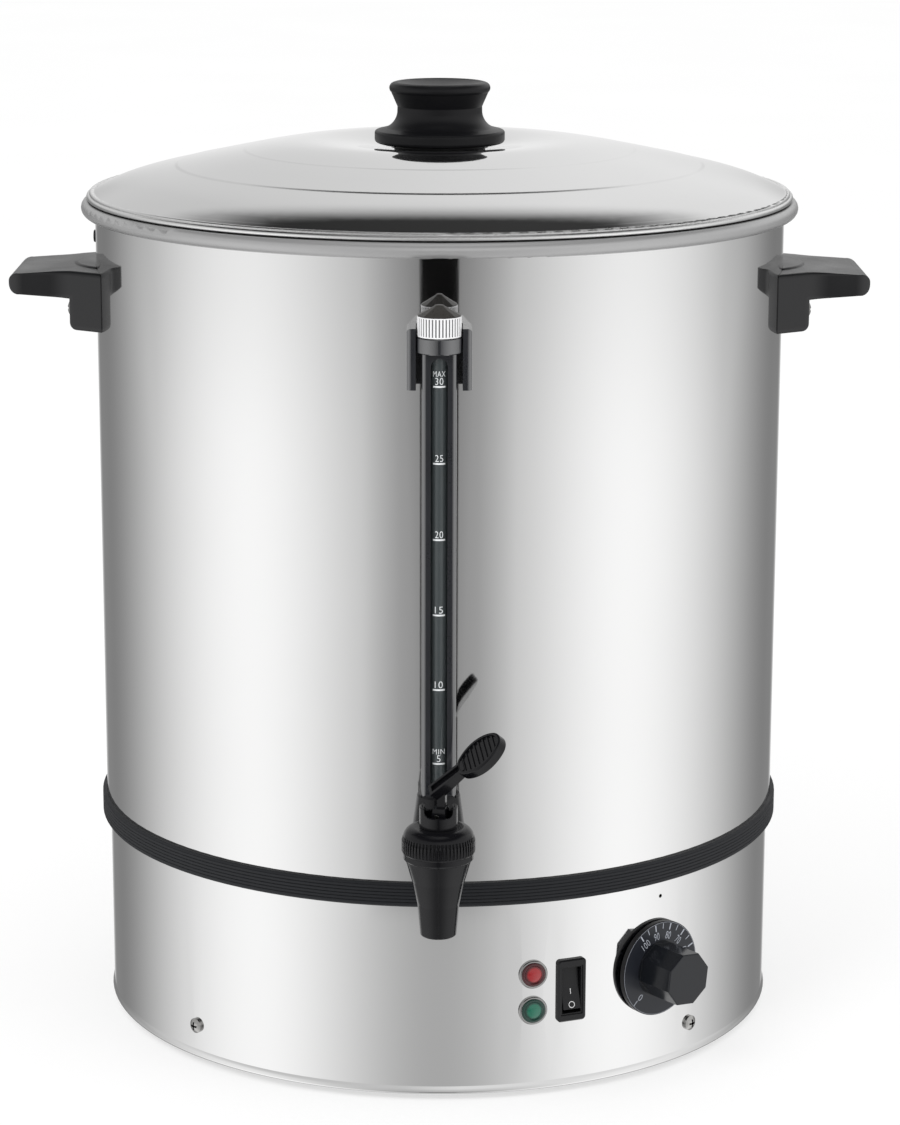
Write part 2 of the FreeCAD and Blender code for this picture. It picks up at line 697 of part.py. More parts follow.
# ---------------------------------------------------------------- controls
def lamp_lens():
    """Domed lens with a stepped ring and a barrel through the wall."""
    x = SKIRT_R
    return turned([(0, x - 20), (5.9, x - 20), (5.9, x + 0.2), (6.8, x + 0.2), (6.8, x + 1.3),
                   ((6.3, x + 1.9), (5.4, x + 2.0)), (4.8, x + 1.5), (4.6, x + 1.5),
                   crown(4.6, x + 1.5, x + 2.7)], OUT)


def red_lamp():
    return on_wall(lamp_lens(), LAMP_AZIMUTH, RED_LAMP_Z)


def green_lamp():
    return on_wall(lamp_lens(), LAMP_AZIMUTH, GREEN_LAMP_Z)


def lamp_bezels():
    x = SKIRT_R
    bezel = turned([(5.9, x - 1.0), (8.1, x - 1.0), (8.1, x + 0.7), ((7.8, x + 1.5), (7.2, x + 1.7)),
                    (6.8, x + 1.5), (6.8, x + 0.2), (5.9, x + 0.2)], OUT)
    bezel = bezel.cut(wall_cylinder(x))
    return group([on_wall(bezel, LAMP_AZIMUTH, z) for z in (RED_LAMP_Z, GREEN_LAMP_Z)])


def lamp_retainers():
    wall = SKIRT_R - SHEET
    ring = tube(8.4, 5.9, (wall - 1.6, 0, 0), (wall + 1, 0, 0))
    ring = ring.common(wall_cylinder(wall))
    return group([on_wall(ring, LAMP_AZIMUTH, z) for z in (RED_LAMP_Z, GREEN_LAMP_Z)])


def rounded_plate(half_y, half_z, x_low, x_high, corner):
    """A plate normal to local X with rounded corners."""
    plate = box((x_low, -half_y, -half_z), (x_high, half_y, half_z))
    upright = [edge for edge in plate.Edges if abs(edge.BoundBox.XLength) > 1e-3]
    return plate.makeFillet(corner, upright)


def switch_frame():
    half_y, half_z = SWITCH_HALF
    x = SKIRT_R
    bezel = rounded_plate(half_y, half_z, x - 1, x + 2.2, 2.2)
    bezel = bezel.makeChamfer(0.8, [edge for edge in bezel.Edges if edge.BoundBox.XMin > x + 2.1])
    bezel = bezel.cut(wall_cylinder(x))
    barrel = box((x - 18, -6.6, -14.6), (x + 0.5, 6.6, 14.6))
    frame = fused([bezel, barrel])
    gap = 0.3
    well = box((x - 13, -ROCKER_HALF[0] - gap, -ROCKER_HALF[1] - gap),
               (x + 5, ROCKER_HALF[0] + gap, ROCKER_HALF[1] + gap))
    step = box((x + 1.4, -ROCKER_HALF[0] - 1.2, -ROCKER_HALF[1] - 1.2),
               (x + 5, ROCKER_HALF[0] + 1.2, ROCKER_HALF[1] + 1.2))
    pivots = cylinder(1.2 + RUNNING, (ROCKER_AXIS_X, -6.2, 0), (ROCKER_AXIS_X, 6.2, 0))
    blades = [box((x - 26, -2.4, z - 0.4), (x - 17.9, 2.4, z + 0.4)) for z in (-9, 0, 9)]
    frame = fused([frame.cut(group([well, step])), group(blades)]).cut(pivots)
    return on_wall(frame, SWITCH_AZIMUTH, SWITCH_Z)


def switch_rocker():
    """Rocker on its pivot, at rest with the upper end pressed in."""
    half_y, half_z = ROCKER_HALF
    x = ROCKER_AXIS_X
    reach = half_z - 1.0
    lean = radians(ROCKER_SWING / 2)
    face = []
    for z, out in ((-reach, 5.2), (0.0, 4.3), (reach, 5.2)):
        face.append((out * cos(lean) + z * -sin(lean), z * cos(lean) + out * sin(lean)))
    outline = [vec(x + px, -half_y + 0.15, pz) for px, pz in face]
    foot = [vec(x - 3.0, -half_y + 0.15, 3.4), vec(x - 3.0, -half_y + 0.15, -3.4)]
    body = prism([outline[0], outline[1], outline[2]] + foot, vec(0, 2 * half_y - 0.3, 0))
    pivot = cylinder(1.2, (x, -6.1, 0), (x, 6.1, 0))
    return on_wall(fused([body, pivot]), SWITCH_AZIMUTH, SWITCH_Z)


def thermostat_knob():
    """Dial disc and octagonal grip in one moulding, hollow at the back."""
    disc = turned([(0, DIAL_BACK), (DIAL_R - 0.4, DIAL_BACK), (DIAL_R, DIAL_BACK + 0.5),
                   (DIAL_FACE_R + 0.4, DIAL_FACE - 0.3), (DIAL_FACE_R, DIAL_FACE), (0, DIAL_FACE)], OUT)
    corner_r = GRIP_FLATS / 2 / cos(pi / 8)
    grip = polygon(corner_r, 8, DIAL_FACE - 1, GRIP_FRONT - DIAL_FACE + 1, GRIP_TURN)
    rim = [edge for edge in grip.Edges if edge.BoundBox.XMin > GRIP_FRONT - 0.1]
    grip = grip.makeFillet(0.8, rim)
    hollow = tube(24.6, 7.0, (DIAL_BACK - 1, 0, 0), (DIAL_FACE - 1.0, 0, 0))
    bore = cylinder(SHAFT_R, (DIAL_BACK - 1, 0, 0), (GRIP_FRONT - 6, 0, 0))
    return on_wall(fused([disc, grip]).cut(hollow).cut(bore), DIAL_AZIMUTH, DIAL_Z)


def thermostat_shaft():
    start = SKIRT_R - SHEET - 13.5
    return on_wall(cylinder(SHAFT_R, (start, 0, 0), (GRIP_FRONT - 6, 0, 0)), DIAL_AZIMUTH, DIAL_Z)


# ---------------------------------------------------------------- tap
def at_tap(shape):
    placed = shape.copy()
    placed.translate(vec(0, TAP_Y, 0))
    return placed


def tap_body():
    """Spout, funnel, shank and the gauge socket in one moulding."""
    barrel = at_tap(turned([
        (0, SPOUT_END), (9.1, SPOUT_END), (9.6, SPOUT_END + 0.6), (11.1, 133.0), (14.0, 146.0), (17.6, 157.6),
        (18.4, 158.2), (18.8, 158.8), (18.8, TAP_TOP), (NECK_R, TAP_TOP), (NECK_R, TAP_TOP + 4),
        (0, TAP_TOP + 4)]))
    shank = cylinder(SHANK_R, (0, TAP_Y, SHANK_Z), (0, -180, SHANK_Z))
    flange = cylinder(15.0, (0, -TANK_R - 6.5, SHANK_Z), (0, -TANK_R - 2.5, SHANK_Z))
    socket = turned([(0, SHANK_Z), (13.6, SHANK_Z), (14.2, 164.0), (11.6, GAUGE_SOCKET_TOP - 1),
                     (11.0, GAUGE_SOCKET_TOP), (0, GAUGE_SOCKET_TOP)])
    socket.translate(vec(0, GAUGE_Y, 0))
    socket = socket.cut(box((-30, -TANK_R - 2.5, 100), (30, -150, 220)))
    bonnet_room = at_tap(tube(19.9, NECK_R, (0, 0, TAP_TOP), (0, 0, 200)))
    body = fused([barrel, shank, flange, socket]).cut(bonnet_room)
    seam = box((-0.25, TAP_Y - 25, SPOUT_END - 1), (0.25, TAP_Y - 9.0, 158.0))
    ridge = seam.common(at_tap(turned([(0, SPOUT_END + 1), (9.95, SPOUT_END + 1), (11.4, 133.0), (14.3, 146.0),
                                       (17.9, 157.5), (0, 157.5)])))
    cuts = [
        at_tap(cylinder(SPOUT_R, (0, 0, SPOUT_END - 1), (0, 0, SEAT_Z + 1))),
        at_tap(tube(CHAMBER_R, SPOUT_R + 1.4, (0, 0, SEAT_Z - 1), (0, 0, SEAT_Z))),
        at_tap(cylinder(CHAMBER_R, (0, 0, SEAT_Z), (0, 0, TAP_TOP + 5))),
        cylinder(5.5, (0, TAP_Y, SHANK_Z), (0, -179, SHANK_Z)),
        cylinder(3.8, (0, GAUGE_Y, SHANK_Z), (0, GAUGE_Y, 173)),
        cylinder(7.6, (0, GAUGE_Y, 172), (0, GAUGE_Y, 178)),
        cylinder(TUBE_R + 0.4, (0, GAUGE_Y, 177), (0, GAUGE_Y, 182)),
        box((-9.3, GAUGE_Y - 7.2, GAUGE_BOTTOM), (9.3, GAUGE_Y + 7.2, 190)),
    ]
    return fused([body, ridge]).cut(fused(cuts))


def tap_locknut():
    """Large nut on the shank, inside the tank."""
    seat = TANK_R - SHEET - 2.0
    nut = polygon(17.3, 6, seat - 7.5, 7.5)
    return on_wall(nut.cut(cylinder(SHANK_R, (0, 0, 0), (210, 0, 0))), 0, SHANK_Z)


def tap_seals():
    """Silicone rings on both faces of the wall, around the shank."""
    outside = tube(14.4, SHANK_R, (TANK_R - 4, 0, SHANK_Z), (TANK_R + 2.5, 0, SHANK_Z))
    outside = outside.cut(wall_cylinder(TANK_R))
    inside = wall_seal_at(15.0, SHANK_R, 2.0, SHANK_Z)
    return group([on_wall(outside, 0, 0), on_wall(inside, 0, 0)])


def tap_bonnet():
    """Knurled cap that clamps the turret onto the tap body."""
    top = TURRET_Z - 0.1
    roof = TAP_TOP + 5.5
    shell = turned([(HUB_R, top), (13.2, top), ((17.2, 173.6), (BONNET_R - 0.5, 169.6)),
                    (BONNET_R, 168.4), (BONNET_R, TAP_TOP + 0.8), (BONNET_R - 0.6, TAP_TOP),
                    (NECK_R, TAP_TOP), (NECK_R, roof), (HUB_R, roof)])
    flutes = []
    count = 60
    flute_r = 0.6
    for index in range(count):
        angle = 2 * pi * index / count
        x = (BONNET_R + 0.2) * cos(angle)
        y = (BONNET_R + 0.2) * sin(angle)
        flutes.append(cylinder(flute_r, (x, y, TAP_TOP + 1.3), (x * 0.95, y * 0.95, 171.0)))
    return at_tap(shell.cut(group(flutes)))


def bonnet_seal():
    return at_tap(tube(NECK_R - 0.1, 9.6, (0, 0, TAP_TOP + 4), (0, 0, TAP_TOP + 5.5)))


def lever_turret():
    """Cup that carries the lever; its rim is lower at the front and back."""
    low = TURRET_Z
    rim = 186.6
    cup = turned([(0, low), (CUP_R, low), (CUP_R, rim - 0.4), (CUP_R - 0.4, rim), (CUP_R - CUP_WALL, rim),
                  (CUP_R - CUP_WALL, low + CUP_FLOOR), (0, low + CUP_FLOOR)])
    hub = turned([(0, low + 0.5), (HUB_R - RUNNING, low + 0.5), (HUB_R - RUNNING, 166.7), (5.0, 166.7),
                  (5.0, 165.5), (HUB_R - RUNNING, 165.5), (HUB_R - RUNNING, 164.5), (0, 164.5)])
    body = fused([cup, hub])
    notch = box((-7.5, -20, 182.0), (7.5, 20, rim + 10))
    notch = notch.makeFillet(3.0, [edge for edge in notch.Edges
                                   if edge.BoundBox.ZMax < 182.1 and edge.BoundBox.YLength > 30])
    stem_hole = cylinder(STEM_R + RUNNING, (0, 0, 160), (0, 0, 180))
    return at_tap(body.cut(group([notch, stem_hole])))


def turret_clip():
    clip = tube(8.6, 5.0, (0, 0, 165.6), (0, 0, 166.6))
    return at_tap(clip.cut(box((3.0, -2.2, 165), (10, 2.2, 167))))


def lever_frame(shape):
    """Place a lever piece: local u along the lever, v sideways, z up."""
    placed = shape.copy()
    placed.rotate(ORIGIN, UP, LEVER_HEADING)
    return at_tap(placed)


def valve_stem():
    """Stem with a flat eye for the lever's pin and a foot for the seat cup."""
    stem = fused([cylinder(STEM_R, (0, 0, 150.0), (0, 0, PIN_Z + 1.0)),
                  Part.makeSphere(STEM_R, vec(0, 0, PIN_Z + 1.0)),
                  cylinder(4.2, (0, 0, 150.0), (0, 0, 152.0))])
    eye = cylinder(1.25 + RUNNING, (0, -5, PIN_Z), (0, 5, PIN_Z))
    return lever_frame(stem.cut(eye))


def seat_cup():
    """Silicone cup that closes the seat, sprung onto the stem's foot."""
    cup = turned([(0, SEAT_Z + 0.05), (9.0, SEAT_Z + 0.05), ((9.6, SEAT_Z + 0.4), (9.6, SEAT_Z + 1.2)),
                  (8.4, 152.0), (6.6, 153.6), (STEM_R, 153.6), (STEM_R, 152.0), (4.2, 152.0), (4.2, 150.0),
                  (0, 150.0)])
    return at_tap(cup)


def valve_spring():
    """Coil spring between the seat cup and the turret's clip."""
    low = 154.1
    wire = 0.45
    height = 9.9
    pitch = height / 5
    helix = Part.makeHelix(pitch, height, 4.0)
    ring = Part.Wire(Part.makeCircle(wire, vec(4.0, 0, 0), SIDE))
    coil = Part.Wire(helix.Edges).makePipeShell([ring], True, True)
    coil.translate(vec(0, 0, low))
    return at_tap(coil)


def oval(centre_x, half_x, half_y, low, high):
    """An upright oval prism of four tangent arcs."""
    end_r = half_y * 0.76
    end_x = half_x - end_r
    drop = (end_x ** 2 - (half_y - end_r) ** 2) / (2 * (half_y - end_r))
    side_r = half_y + drop
    reach = hypot(end_x, drop)
    join_x = end_x / reach * side_r
    join_y = drop / reach * side_r - drop

    def at(x, y):
        return vec(centre_x + x, y, low)

    outline = [at(join_x, -join_y), (at(half_x, 0), at(join_x, join_y)), (at(0, half_y), at(-join_x, join_y)),
               (at(-half_x, 0), at(-join_x, -join_y)), (at(0, -half_y), at(join_x, -join_y))]
    return prism(outline, vec(0, 0, high - low))


def paddle():
    """Spoon-shaped finger pad with cross ribs, along local +X from the arm."""
    half_x = (ARM_LENGTH - PADDLE_FROM) / 2 + 0.8
    centre = ARM_LENGTH - half_x
    pad = oval(centre, half_x, PADDLE_HALF, -1.7, 4.3)
    rims = [edge for edge in pad.Edges if edge.BoundBox.ZLength < 0.01]
    pad = pad.makeFillet(0.9, rims)
    dish = oval(centre, half_x - 1.8, PADDLE_HALF - 1.8, 3.1, 5.0)
    ribs = []
    for index in range(8):
        x = centre - 10.2 + 2.9 * index
        ribs.append(box((x - 0.45, -12, 2.9), (x + 0.45, 12, 3.75)))
    ribs = group(ribs).common(oval(centre, half_x - 1.6, PADDLE_HALF - 1.6, 2.9, 3.75))
    return fused([pad.cut(dish)] + ribs.Solids)


def tap_lever():
    """Lever: heel with a fork for the stem, blade, channelled arm and paddle."""
    groove = box((1.6, -2.0, 2.0), (PADDLE_FROM, 2.0, 6))
    arm = box((0, -3.5, -3.6), (PADDLE_FROM + 3, 3.5, 4.0))
    taper = box((-5, -10, -12), (60, 10, 0))
    taper.rotate(ORIGIN, SIDE, -7)
    taper.translate(vec(8, 0, -2.2))
    arm = fused([arm.cut(taper), paddle()]).cut(groove)
    arm.rotate(ORIGIN, OUT, ARM_ROLL)
    arm.rotate(ORIGIN, SIDE, -LEVER_RISE)
    arm.translate(vec(ARM_START[0], 0, ARM_START[1]))
    blade = box((-0.4, -2.0, PIN_Z + 2.4), (4.0, 2.0, ARM_START[1] + 4.0))
    fork = prism([vec(-3.4, -4.3, HEEL_Z + 1.2), (vec(-3.0, -4.3, HEEL_Z + 0.3), vec(-2.2, -4.3, HEEL_Z)),
                  vec(4.2, -4.3, HEEL_Z), (vec(4.9, -4.3, HEEL_Z + 0.3), vec(5.2, -4.3, HEEL_Z + 1.0)),
                  vec(4.4, -4.3, PIN_Z + 4.6), vec(-2.0, -4.3, PIN_Z + 4.6)], vec(0, 8.6, 0))
    lever = fused([fork, blade, arm])
    slot = fused([cylinder(3.8, (0, -STEM_R - 0.15, PIN_Z), (0, STEM_R + 0.15, PIN_Z)),
                  box((-12, -STEM_R - 0.15, HEEL_Z - 5), (12, STEM_R + 0.15, PIN_Z))])
    eye = cylinder(1.25, (0, -5, PIN_Z), (0, 5, PIN_Z))
    return lever_frame(lever.cut(fused([slot, eye])))


def lever_pin():
    return lever_frame(cylinder(1.25, (0, -4.3, PIN_Z), (0, 4.3, PIN_Z)))


# ---------------------------------------------------------------- sight gauge
def at_gauge(shape):
    placed = shape.copy()
    placed.translate(vec(0, GAUGE_Y, 0))
    return placed


def gauge_tube():
    return at_gauge(tube(TUBE_R, TUBE_R - TUBE_WALL, (0, 0, 173.0), (0, 0, 438.0)))


def gauge_shield():
    """Moulded channel around the tube, with a round-topped window."""
    half_x = 9.1
    half_y = 7.0
    body = box((-half_x, -half_y, GAUGE_BOTTOM), (half_x, half_y, COLLAR_BOTTOM))
    upright = [edge for edge in body.Edges if edge.BoundBox.ZLength > 10]
    body = body.makeFillet(2.2, upright)
    window_top = 415.0
    half_slot = 4.4
    window = fused([box((-half_slot, -20, GAUGE_BOTTOM + 5), (half_slot, 0, window_top)),
                    cylinder(half_slot, (0, -20, window_top), (0, 0, window_top))])
    bore = cylinder(TUBE_R + 0.3, (0, 0, GAUGE_BOTTOM - 1), (0, 0, COLLAR_BOTTOM + 1))
    shape = body.cut(bore).cut(window)
    return at_gauge(shape)


def gauge_seals():
    """Soft rings that hold the tube in the socket and in the collar."""
    low = tube(7.6, TUBE_R, (0, 0, 173.0), (0, 0, 177.0))
    high = tube(8.0, TUBE_R, (0, 0, CAP_BOTTOM - 4), (0, 0, CAP_BOTTOM))
    return at_gauge(group([low, high]))


def gauge_collar():
    outer = 12.1
    collar = turned([(TUBE_R + 0.3, COLLAR_BOTTOM), (outer - 0.5, COLLAR_BOTTOM), (outer, COLLAR_BOTTOM + 0.5),
                     (outer, CAP_BOTTOM - 0.4), (outer - 0.4, CAP_BOTTOM), (8.0, CAP_BOTTOM),
                     (8.0, CAP_BOTTOM - 4), (TUBE_R + 0.3, CAP_BOTTOM - 4)])
    return at_gauge(collar)


def gauge_cap():
    """Knurled screw cap; its recess holds the pointed tip."""
    outer = 11.6
    cap = turned([(TUBE_R + 0.3, CAP_BOTTOM), (outer - 0.4, CAP_BOTTOM), (outer, CAP_BOTTOM + 0.4),
                  (outer, CAP_TOP - 0.5), (outer - 0.6, CAP_TOP), (TUBE_R + 0.3, CAP_TOP)])
    flutes = []
    count = 40
    for index in range(count):
        angle = 2 * pi * index / count
        x = (outer + 0.2) * cos(angle)
        y = (outer + 0.2) * sin(angle)
        flutes.append(cylinder(0.55, (x, y, CAP_BOTTOM + 1.0), (x, y, CAP_TOP - 0.9)))
    return at_gauge(cap.cut(group(flutes)))


def gauge_tip():
    """Low pointed cover with flat facets on the cap."""
    count = 12
    base = 11.3
    flat_r = 2.6
    nose_r = 7.0
    height = TIP_TOP - CAP_TOP - 0.7
    to_corner = 1 / cos(pi / count)
    cone = Part.makeCone(base * to_corner + 0.8, flat_r, height, vec(0, 0, CAP_TOP))
    facets = []
    for z, radius in ((CAP_TOP, base), (CAP_TOP + height, flat_r * 0.9)):
        corners = []
        for index in range(count):
            angle = 2 * pi * (index + 0.5) / count
            corners.append(vec(radius * to_corner * cos(angle), radius * to_corner * sin(angle), z))
        facets.append(Part.makePolygon(corners + [corners[0]]))
    body = Part.makeLoft(facets, True, True).common(cone)
    nose = Part.makeSphere(nose_r, vec(0, 0, TIP_TOP - nose_r))
    nose = nose.common(cylinder(flat_r, (0, 0, TIP_TOP - 2.0), (0, 0, TIP_TOP + 1)))
    return at_gauge(fused([body, nose]))


def gauge_bracket():
    """U-shaped clip on the wall that holds the collar between its arms."""
    low, high = 402.2, 434.4
    half = 17.15
    inner = 12.15
    front = -(TANK_R + 23.0)
    body = box((-half, front, low), (half, -TANK_R + 4, high))
    edges = [edge for edge in body.Edges
             if edge.BoundBox.ZMin > high - 0.1 and edge.BoundBox.XLength < 0.1]
    front_edges = [edge for edge in body.Edges
                   if edge.BoundBox.YMax < front + 0.1 and edge.BoundBox.ZLength > 5]
    body = body.makeFillet(2.5, edges + front_edges)
    channel = box((-inner, front - 5, low - 5), (inner, -TANK_R - 3.0, high + 5))
    seat = cylinder(3.8, (0, -TANK_R - 3.2, BRACKET_SCREW_Z), (0, -TANK_R - 2.9, BRACKET_SCREW_Z))
    channel = channel.cut(seat)
    body = body.cut(channel).cut(wall_cylinder(TANK_R))
    return body.cut(cylinder(2.2, (0, -230, BRACKET_SCREW_Z), (0, -190, BRACKET_SCREW_Z)))


def bracket_screw():
    screw = pan_screw(3.6, 2.6, 2.0, 11.5)
    screw.translate(vec(TANK_R + 3.2, 0, 0))
    return on_wall(screw, 0, BRACKET_SCREW_Z)


def bracket_nut():
    seat = TANK_R - SHEET - 1.6
    return on_wall(cap_nut(4.4, 2.0, seat, 8.5, 8.0 - 1.5), 0, BRACKET_SCREW_Z)


# ---------------------------------------------------------------- output
NODES = {
    "tank_shell": tank_shell, "tank_floor": tank_floor, "seam_band": seam_band, "rim_plug": rim_plug,
    "lid_shell": lid_shell, "lid_knob": lid_knob, "lid_screw": lid_screw, "lid_washer": lid_washer,
    "base_skirt": base_skirt, "base_plate": base_plate, "skirt_screws": skirt_screws,
    "rubber_feet": rubber_feet, "foot_screws": foot_screws,
    "right_handle_grip": lambda: handle_grip(90), "left_handle_grip": lambda: handle_grip(-90),
    "handle_screws": handle_screws, "handle_nuts": handle_nuts, "wall_seals": wall_seals,
    "heat_spreader": heat_spreader, "heating_element": heating_element, "thermal_cutout": thermal_cutout,
    "thermostat_body": thermostat_body, "thermostat_screws": thermostat_screws,
    "thermostat_bulb": thermostat_bulb, "capillary_tube": capillary_tube, "terminal_block": terminal_block,
    "cable_gland": cable_gland, "gland_nut": gland_nut, "gland_seal": gland_seal,
    "gland_locknut": gland_locknut,
    "lamp_bezels": lamp_bezels, "red_lamp": red_lamp, "green_lamp": green_lamp,
    "lamp_retainers": lamp_retainers, "switch_frame": switch_frame, "switch_rocker": switch_rocker,
    "thermostat_knob": thermostat_knob, "thermostat_shaft": thermostat_shaft,
    "tap_body": tap_body, "tap_locknut": tap_locknut, "tap_seals": tap_seals, "tap_bonnet": tap_bonnet,
    "bonnet_seal": bonnet_seal, "lever_turret": lever_turret, "turret_clip": turret_clip,
    "valve_stem": valve_stem, "seat_cup": seat_cup, "valve_spring": valve_spring,
    "tap_lever": tap_lever, "lever_pin": lever_pin,
    "gauge_tube": gauge_tube, "gauge_shield": gauge_shield, "gauge_seals": gauge_seals,
    "gauge_collar": gauge_collar, "gauge_cap": gauge_cap, "gauge_tip": gauge_tip,
    "gauge_bracket": gauge_bracket, "bracket_screw": bracket_screw, "bracket_nut": bracket_nut,
}


def main():
    os.makedirs("parts", exist_ok=True)
    for name, build in NODES.items():
        shape = build()
        shape.exportStep("parts/" + name + ".step")
        state = "" if shape.isValid() else "  NOT VALID"
        print(name, len(shape.Solids), round(shape.Volume, 1), state)


main()
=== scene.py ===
import json
import math
import bpy
import bmesh
from mathutils import Matrix, Vector


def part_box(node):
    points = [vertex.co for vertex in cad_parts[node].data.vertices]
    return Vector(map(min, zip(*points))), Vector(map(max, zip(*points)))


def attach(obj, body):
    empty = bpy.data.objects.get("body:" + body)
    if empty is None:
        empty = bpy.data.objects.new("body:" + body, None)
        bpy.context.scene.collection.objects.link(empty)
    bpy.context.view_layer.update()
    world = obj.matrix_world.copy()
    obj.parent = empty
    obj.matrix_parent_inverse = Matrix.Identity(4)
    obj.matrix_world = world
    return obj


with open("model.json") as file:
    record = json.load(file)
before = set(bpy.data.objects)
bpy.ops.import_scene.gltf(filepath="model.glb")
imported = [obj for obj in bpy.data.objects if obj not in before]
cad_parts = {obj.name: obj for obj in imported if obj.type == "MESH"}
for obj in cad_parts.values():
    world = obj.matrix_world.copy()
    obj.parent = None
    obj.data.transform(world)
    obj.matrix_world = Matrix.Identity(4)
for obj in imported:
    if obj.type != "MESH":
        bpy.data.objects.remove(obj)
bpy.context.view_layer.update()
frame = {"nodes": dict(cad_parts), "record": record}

MM = 0.001
TANK_INSIDE = 197.45 * MM        # between the tank wall's inner and outer faces
ROLL_START = 198.3 * MM          # the tank's rolled rim lies beyond this radius
HEM_START = 198.0 * MM           # the lid's hem lies beyond this radius
CENTRE = (0, 0, 0)
NODES = frame["nodes"]
RECORD = frame["record"]
JOINTS = {joint["name"]: joint for joint in RECORD["behaviour"]["joints"]}
UP = Vector((0, 0, 1))
BOILER_MIDDLE = Vector((0, 0, 0.25))
BLACK = (0, 0, 0)


# ------------------------------------------------------------------ node graphs
class Graph:
    """A thin layer over one node tree, so that a material reads like a recipe."""

    def __init__(self, tree):
        self.tree = tree
        self.position = None

    def node(self, kind, **settings):
        made = self.tree.nodes.new(kind)
        for key, value in settings.items():
            setattr(made, key, value)
        return made

    def feed(self, socket, value):
        """Link an output socket to an input, or store a plain value in it."""
        if isinstance(value, bpy.types.NodeSocket):
            self.tree.links.new(value, socket)
        elif isinstance(value, (tuple, list)) and socket.type == "RGBA" and len(value) == 3:
            socket.default_value = (*value, 1.0)
        else:
            socket.default_value = value

    def where(self):
        """The point on the object, in metres, in the object's own frame."""
        if self.position is None:
            self.position = self.node("ShaderNodeTexCoord").outputs["Object"]
        return self.position

    def math(self, operation, first, second=None, third=None, clamp=False):
        made = self.node("ShaderNodeMath", operation=operation, use_clamp=clamp)
        for index, value in enumerate((first, second, third)):
            if value is not None:
                self.feed(made.inputs[index], value)
        return made.outputs[0]

    def vector(self, operation, first, second=None, scale=None):
        made = self.node("ShaderNodeVectorMath", operation=operation)
        self.feed(made.inputs[0], first)
        if second is not None:
            self.feed(made.inputs[1], second)
        if scale is not None:
            self.feed(made.inputs["Scale"], scale)
        kind = "Value" if operation in ("LENGTH", "DOT_PRODUCT") else "Vector"
        return made.outputs[kind]

    def parts(self, vector):
        made = self.node("ShaderNodeSeparateXYZ")
        self.feed(made.inputs[0], vector)
        return made.outputs

    def noise(self, scale, detail=3.0, rough=0.5, stretch=None, at=None):
        """Soft noise from 0 to 1; scale is in cells per metre."""
        point = self.where() if at is None else at
        if stretch is not None:
            point = self.vector("MULTIPLY", point, stretch)
        made = self.node("ShaderNodeTexNoise")
        self.feed(made.inputs["Vector"], point)
        self.feed(made.inputs["Scale"], scale)
        self.feed(made.inputs["Detail"], detail)
        self.feed(made.inputs["Roughness"], rough)
        return made.outputs[0]

    def span(self, value, low, high, to_low=0.0, to_high=1.0, smooth=False):
        """Map low..high to to_low..to_high, clamped."""
        made = self.node("ShaderNodeMapRange", clamp=True)
        if smooth:
            made.interpolation_type = "SMOOTHSTEP"
        for index, item in enumerate((value, low, high, to_low, to_high)):
            self.feed(made.inputs[index], item)
        return made.outputs[0]

    def mix(self, factor, first, second):
        made = self.node("ShaderNodeMix", data_type="RGBA")
        self.feed(made.inputs["Factor"], factor)
        self.feed(made.inputs[6], first)
        self.feed(made.inputs[7], second)
        return made.outputs[2]

    def ramp(self, value, stops):
        """A grey curve, eased between (position, level) stops."""
        made = self.node("ShaderNodeValToRGB")
        ramp = made.color_ramp
        ramp.interpolation = "EASE"
        while len(ramp.elements) > 1:
            ramp.elements.remove(ramp.elements[0])
        ramp.elements[0].position = stops[0][0]
        for position, level in stops[1:]:
            ramp.elements.new(position)
        for element, (position, level) in zip(ramp.elements, stops):
            element.color = (level, level, level, 1.0)
        self.feed(made.inputs[0], value)
        return made.outputs[0]

    def bump(self, height, distance, strength=1.0, normal=None):
        """Turn a height from 0 to 1 into a normal; distance is in metres."""
        made = self.node("ShaderNodeBump")
        self.feed(made.inputs["Height"], height)
        self.feed(made.inputs["Distance"], distance)
        self.feed(made.inputs["Strength"], strength)
        if normal is not None:
            self.feed(made.inputs["Normal"], normal)
        return made.outputs[0]

    def soft_edges(self, radius):
        """Normals rounded over sharp edges by the given radius in metres."""
        made = self.node("ShaderNodeBevel", samples=4)
        self.feed(made.inputs["Radius"], radius)
        return made.outputs[0]

    def openness(self, reach, alone=True):
        """1 on open faces, towards 0 in recesses narrower than reach, in metres."""
        made = self.node("ShaderNodeAmbientOcclusion", samples=8, only_local=alone)
        self.feed(made.inputs["Distance"], reach)
        return made.outputs["AO"]

    def from_axis(self, point, axis):
        """Distance in metres from the line through point along axis."""
        offset = self.vector("SUBTRACT", self.where(), tuple(point))
        return self.vector("LENGTH", self.vector("CROSS_PRODUCT", offset, tuple(axis)))


def material(name, recipe, **values):
    """A new material whose Principled inputs come from recipe(graph, **values)."""
    made = bpy.data.materials.new(name)
    made.use_nodes = True
    graph = Graph(made.node_tree)
    shader = made.node_tree.nodes["Principled BSDF"]
    for key, value in recipe(graph, **values).items():
        graph.feed(shader.inputs[key], value)
    return made


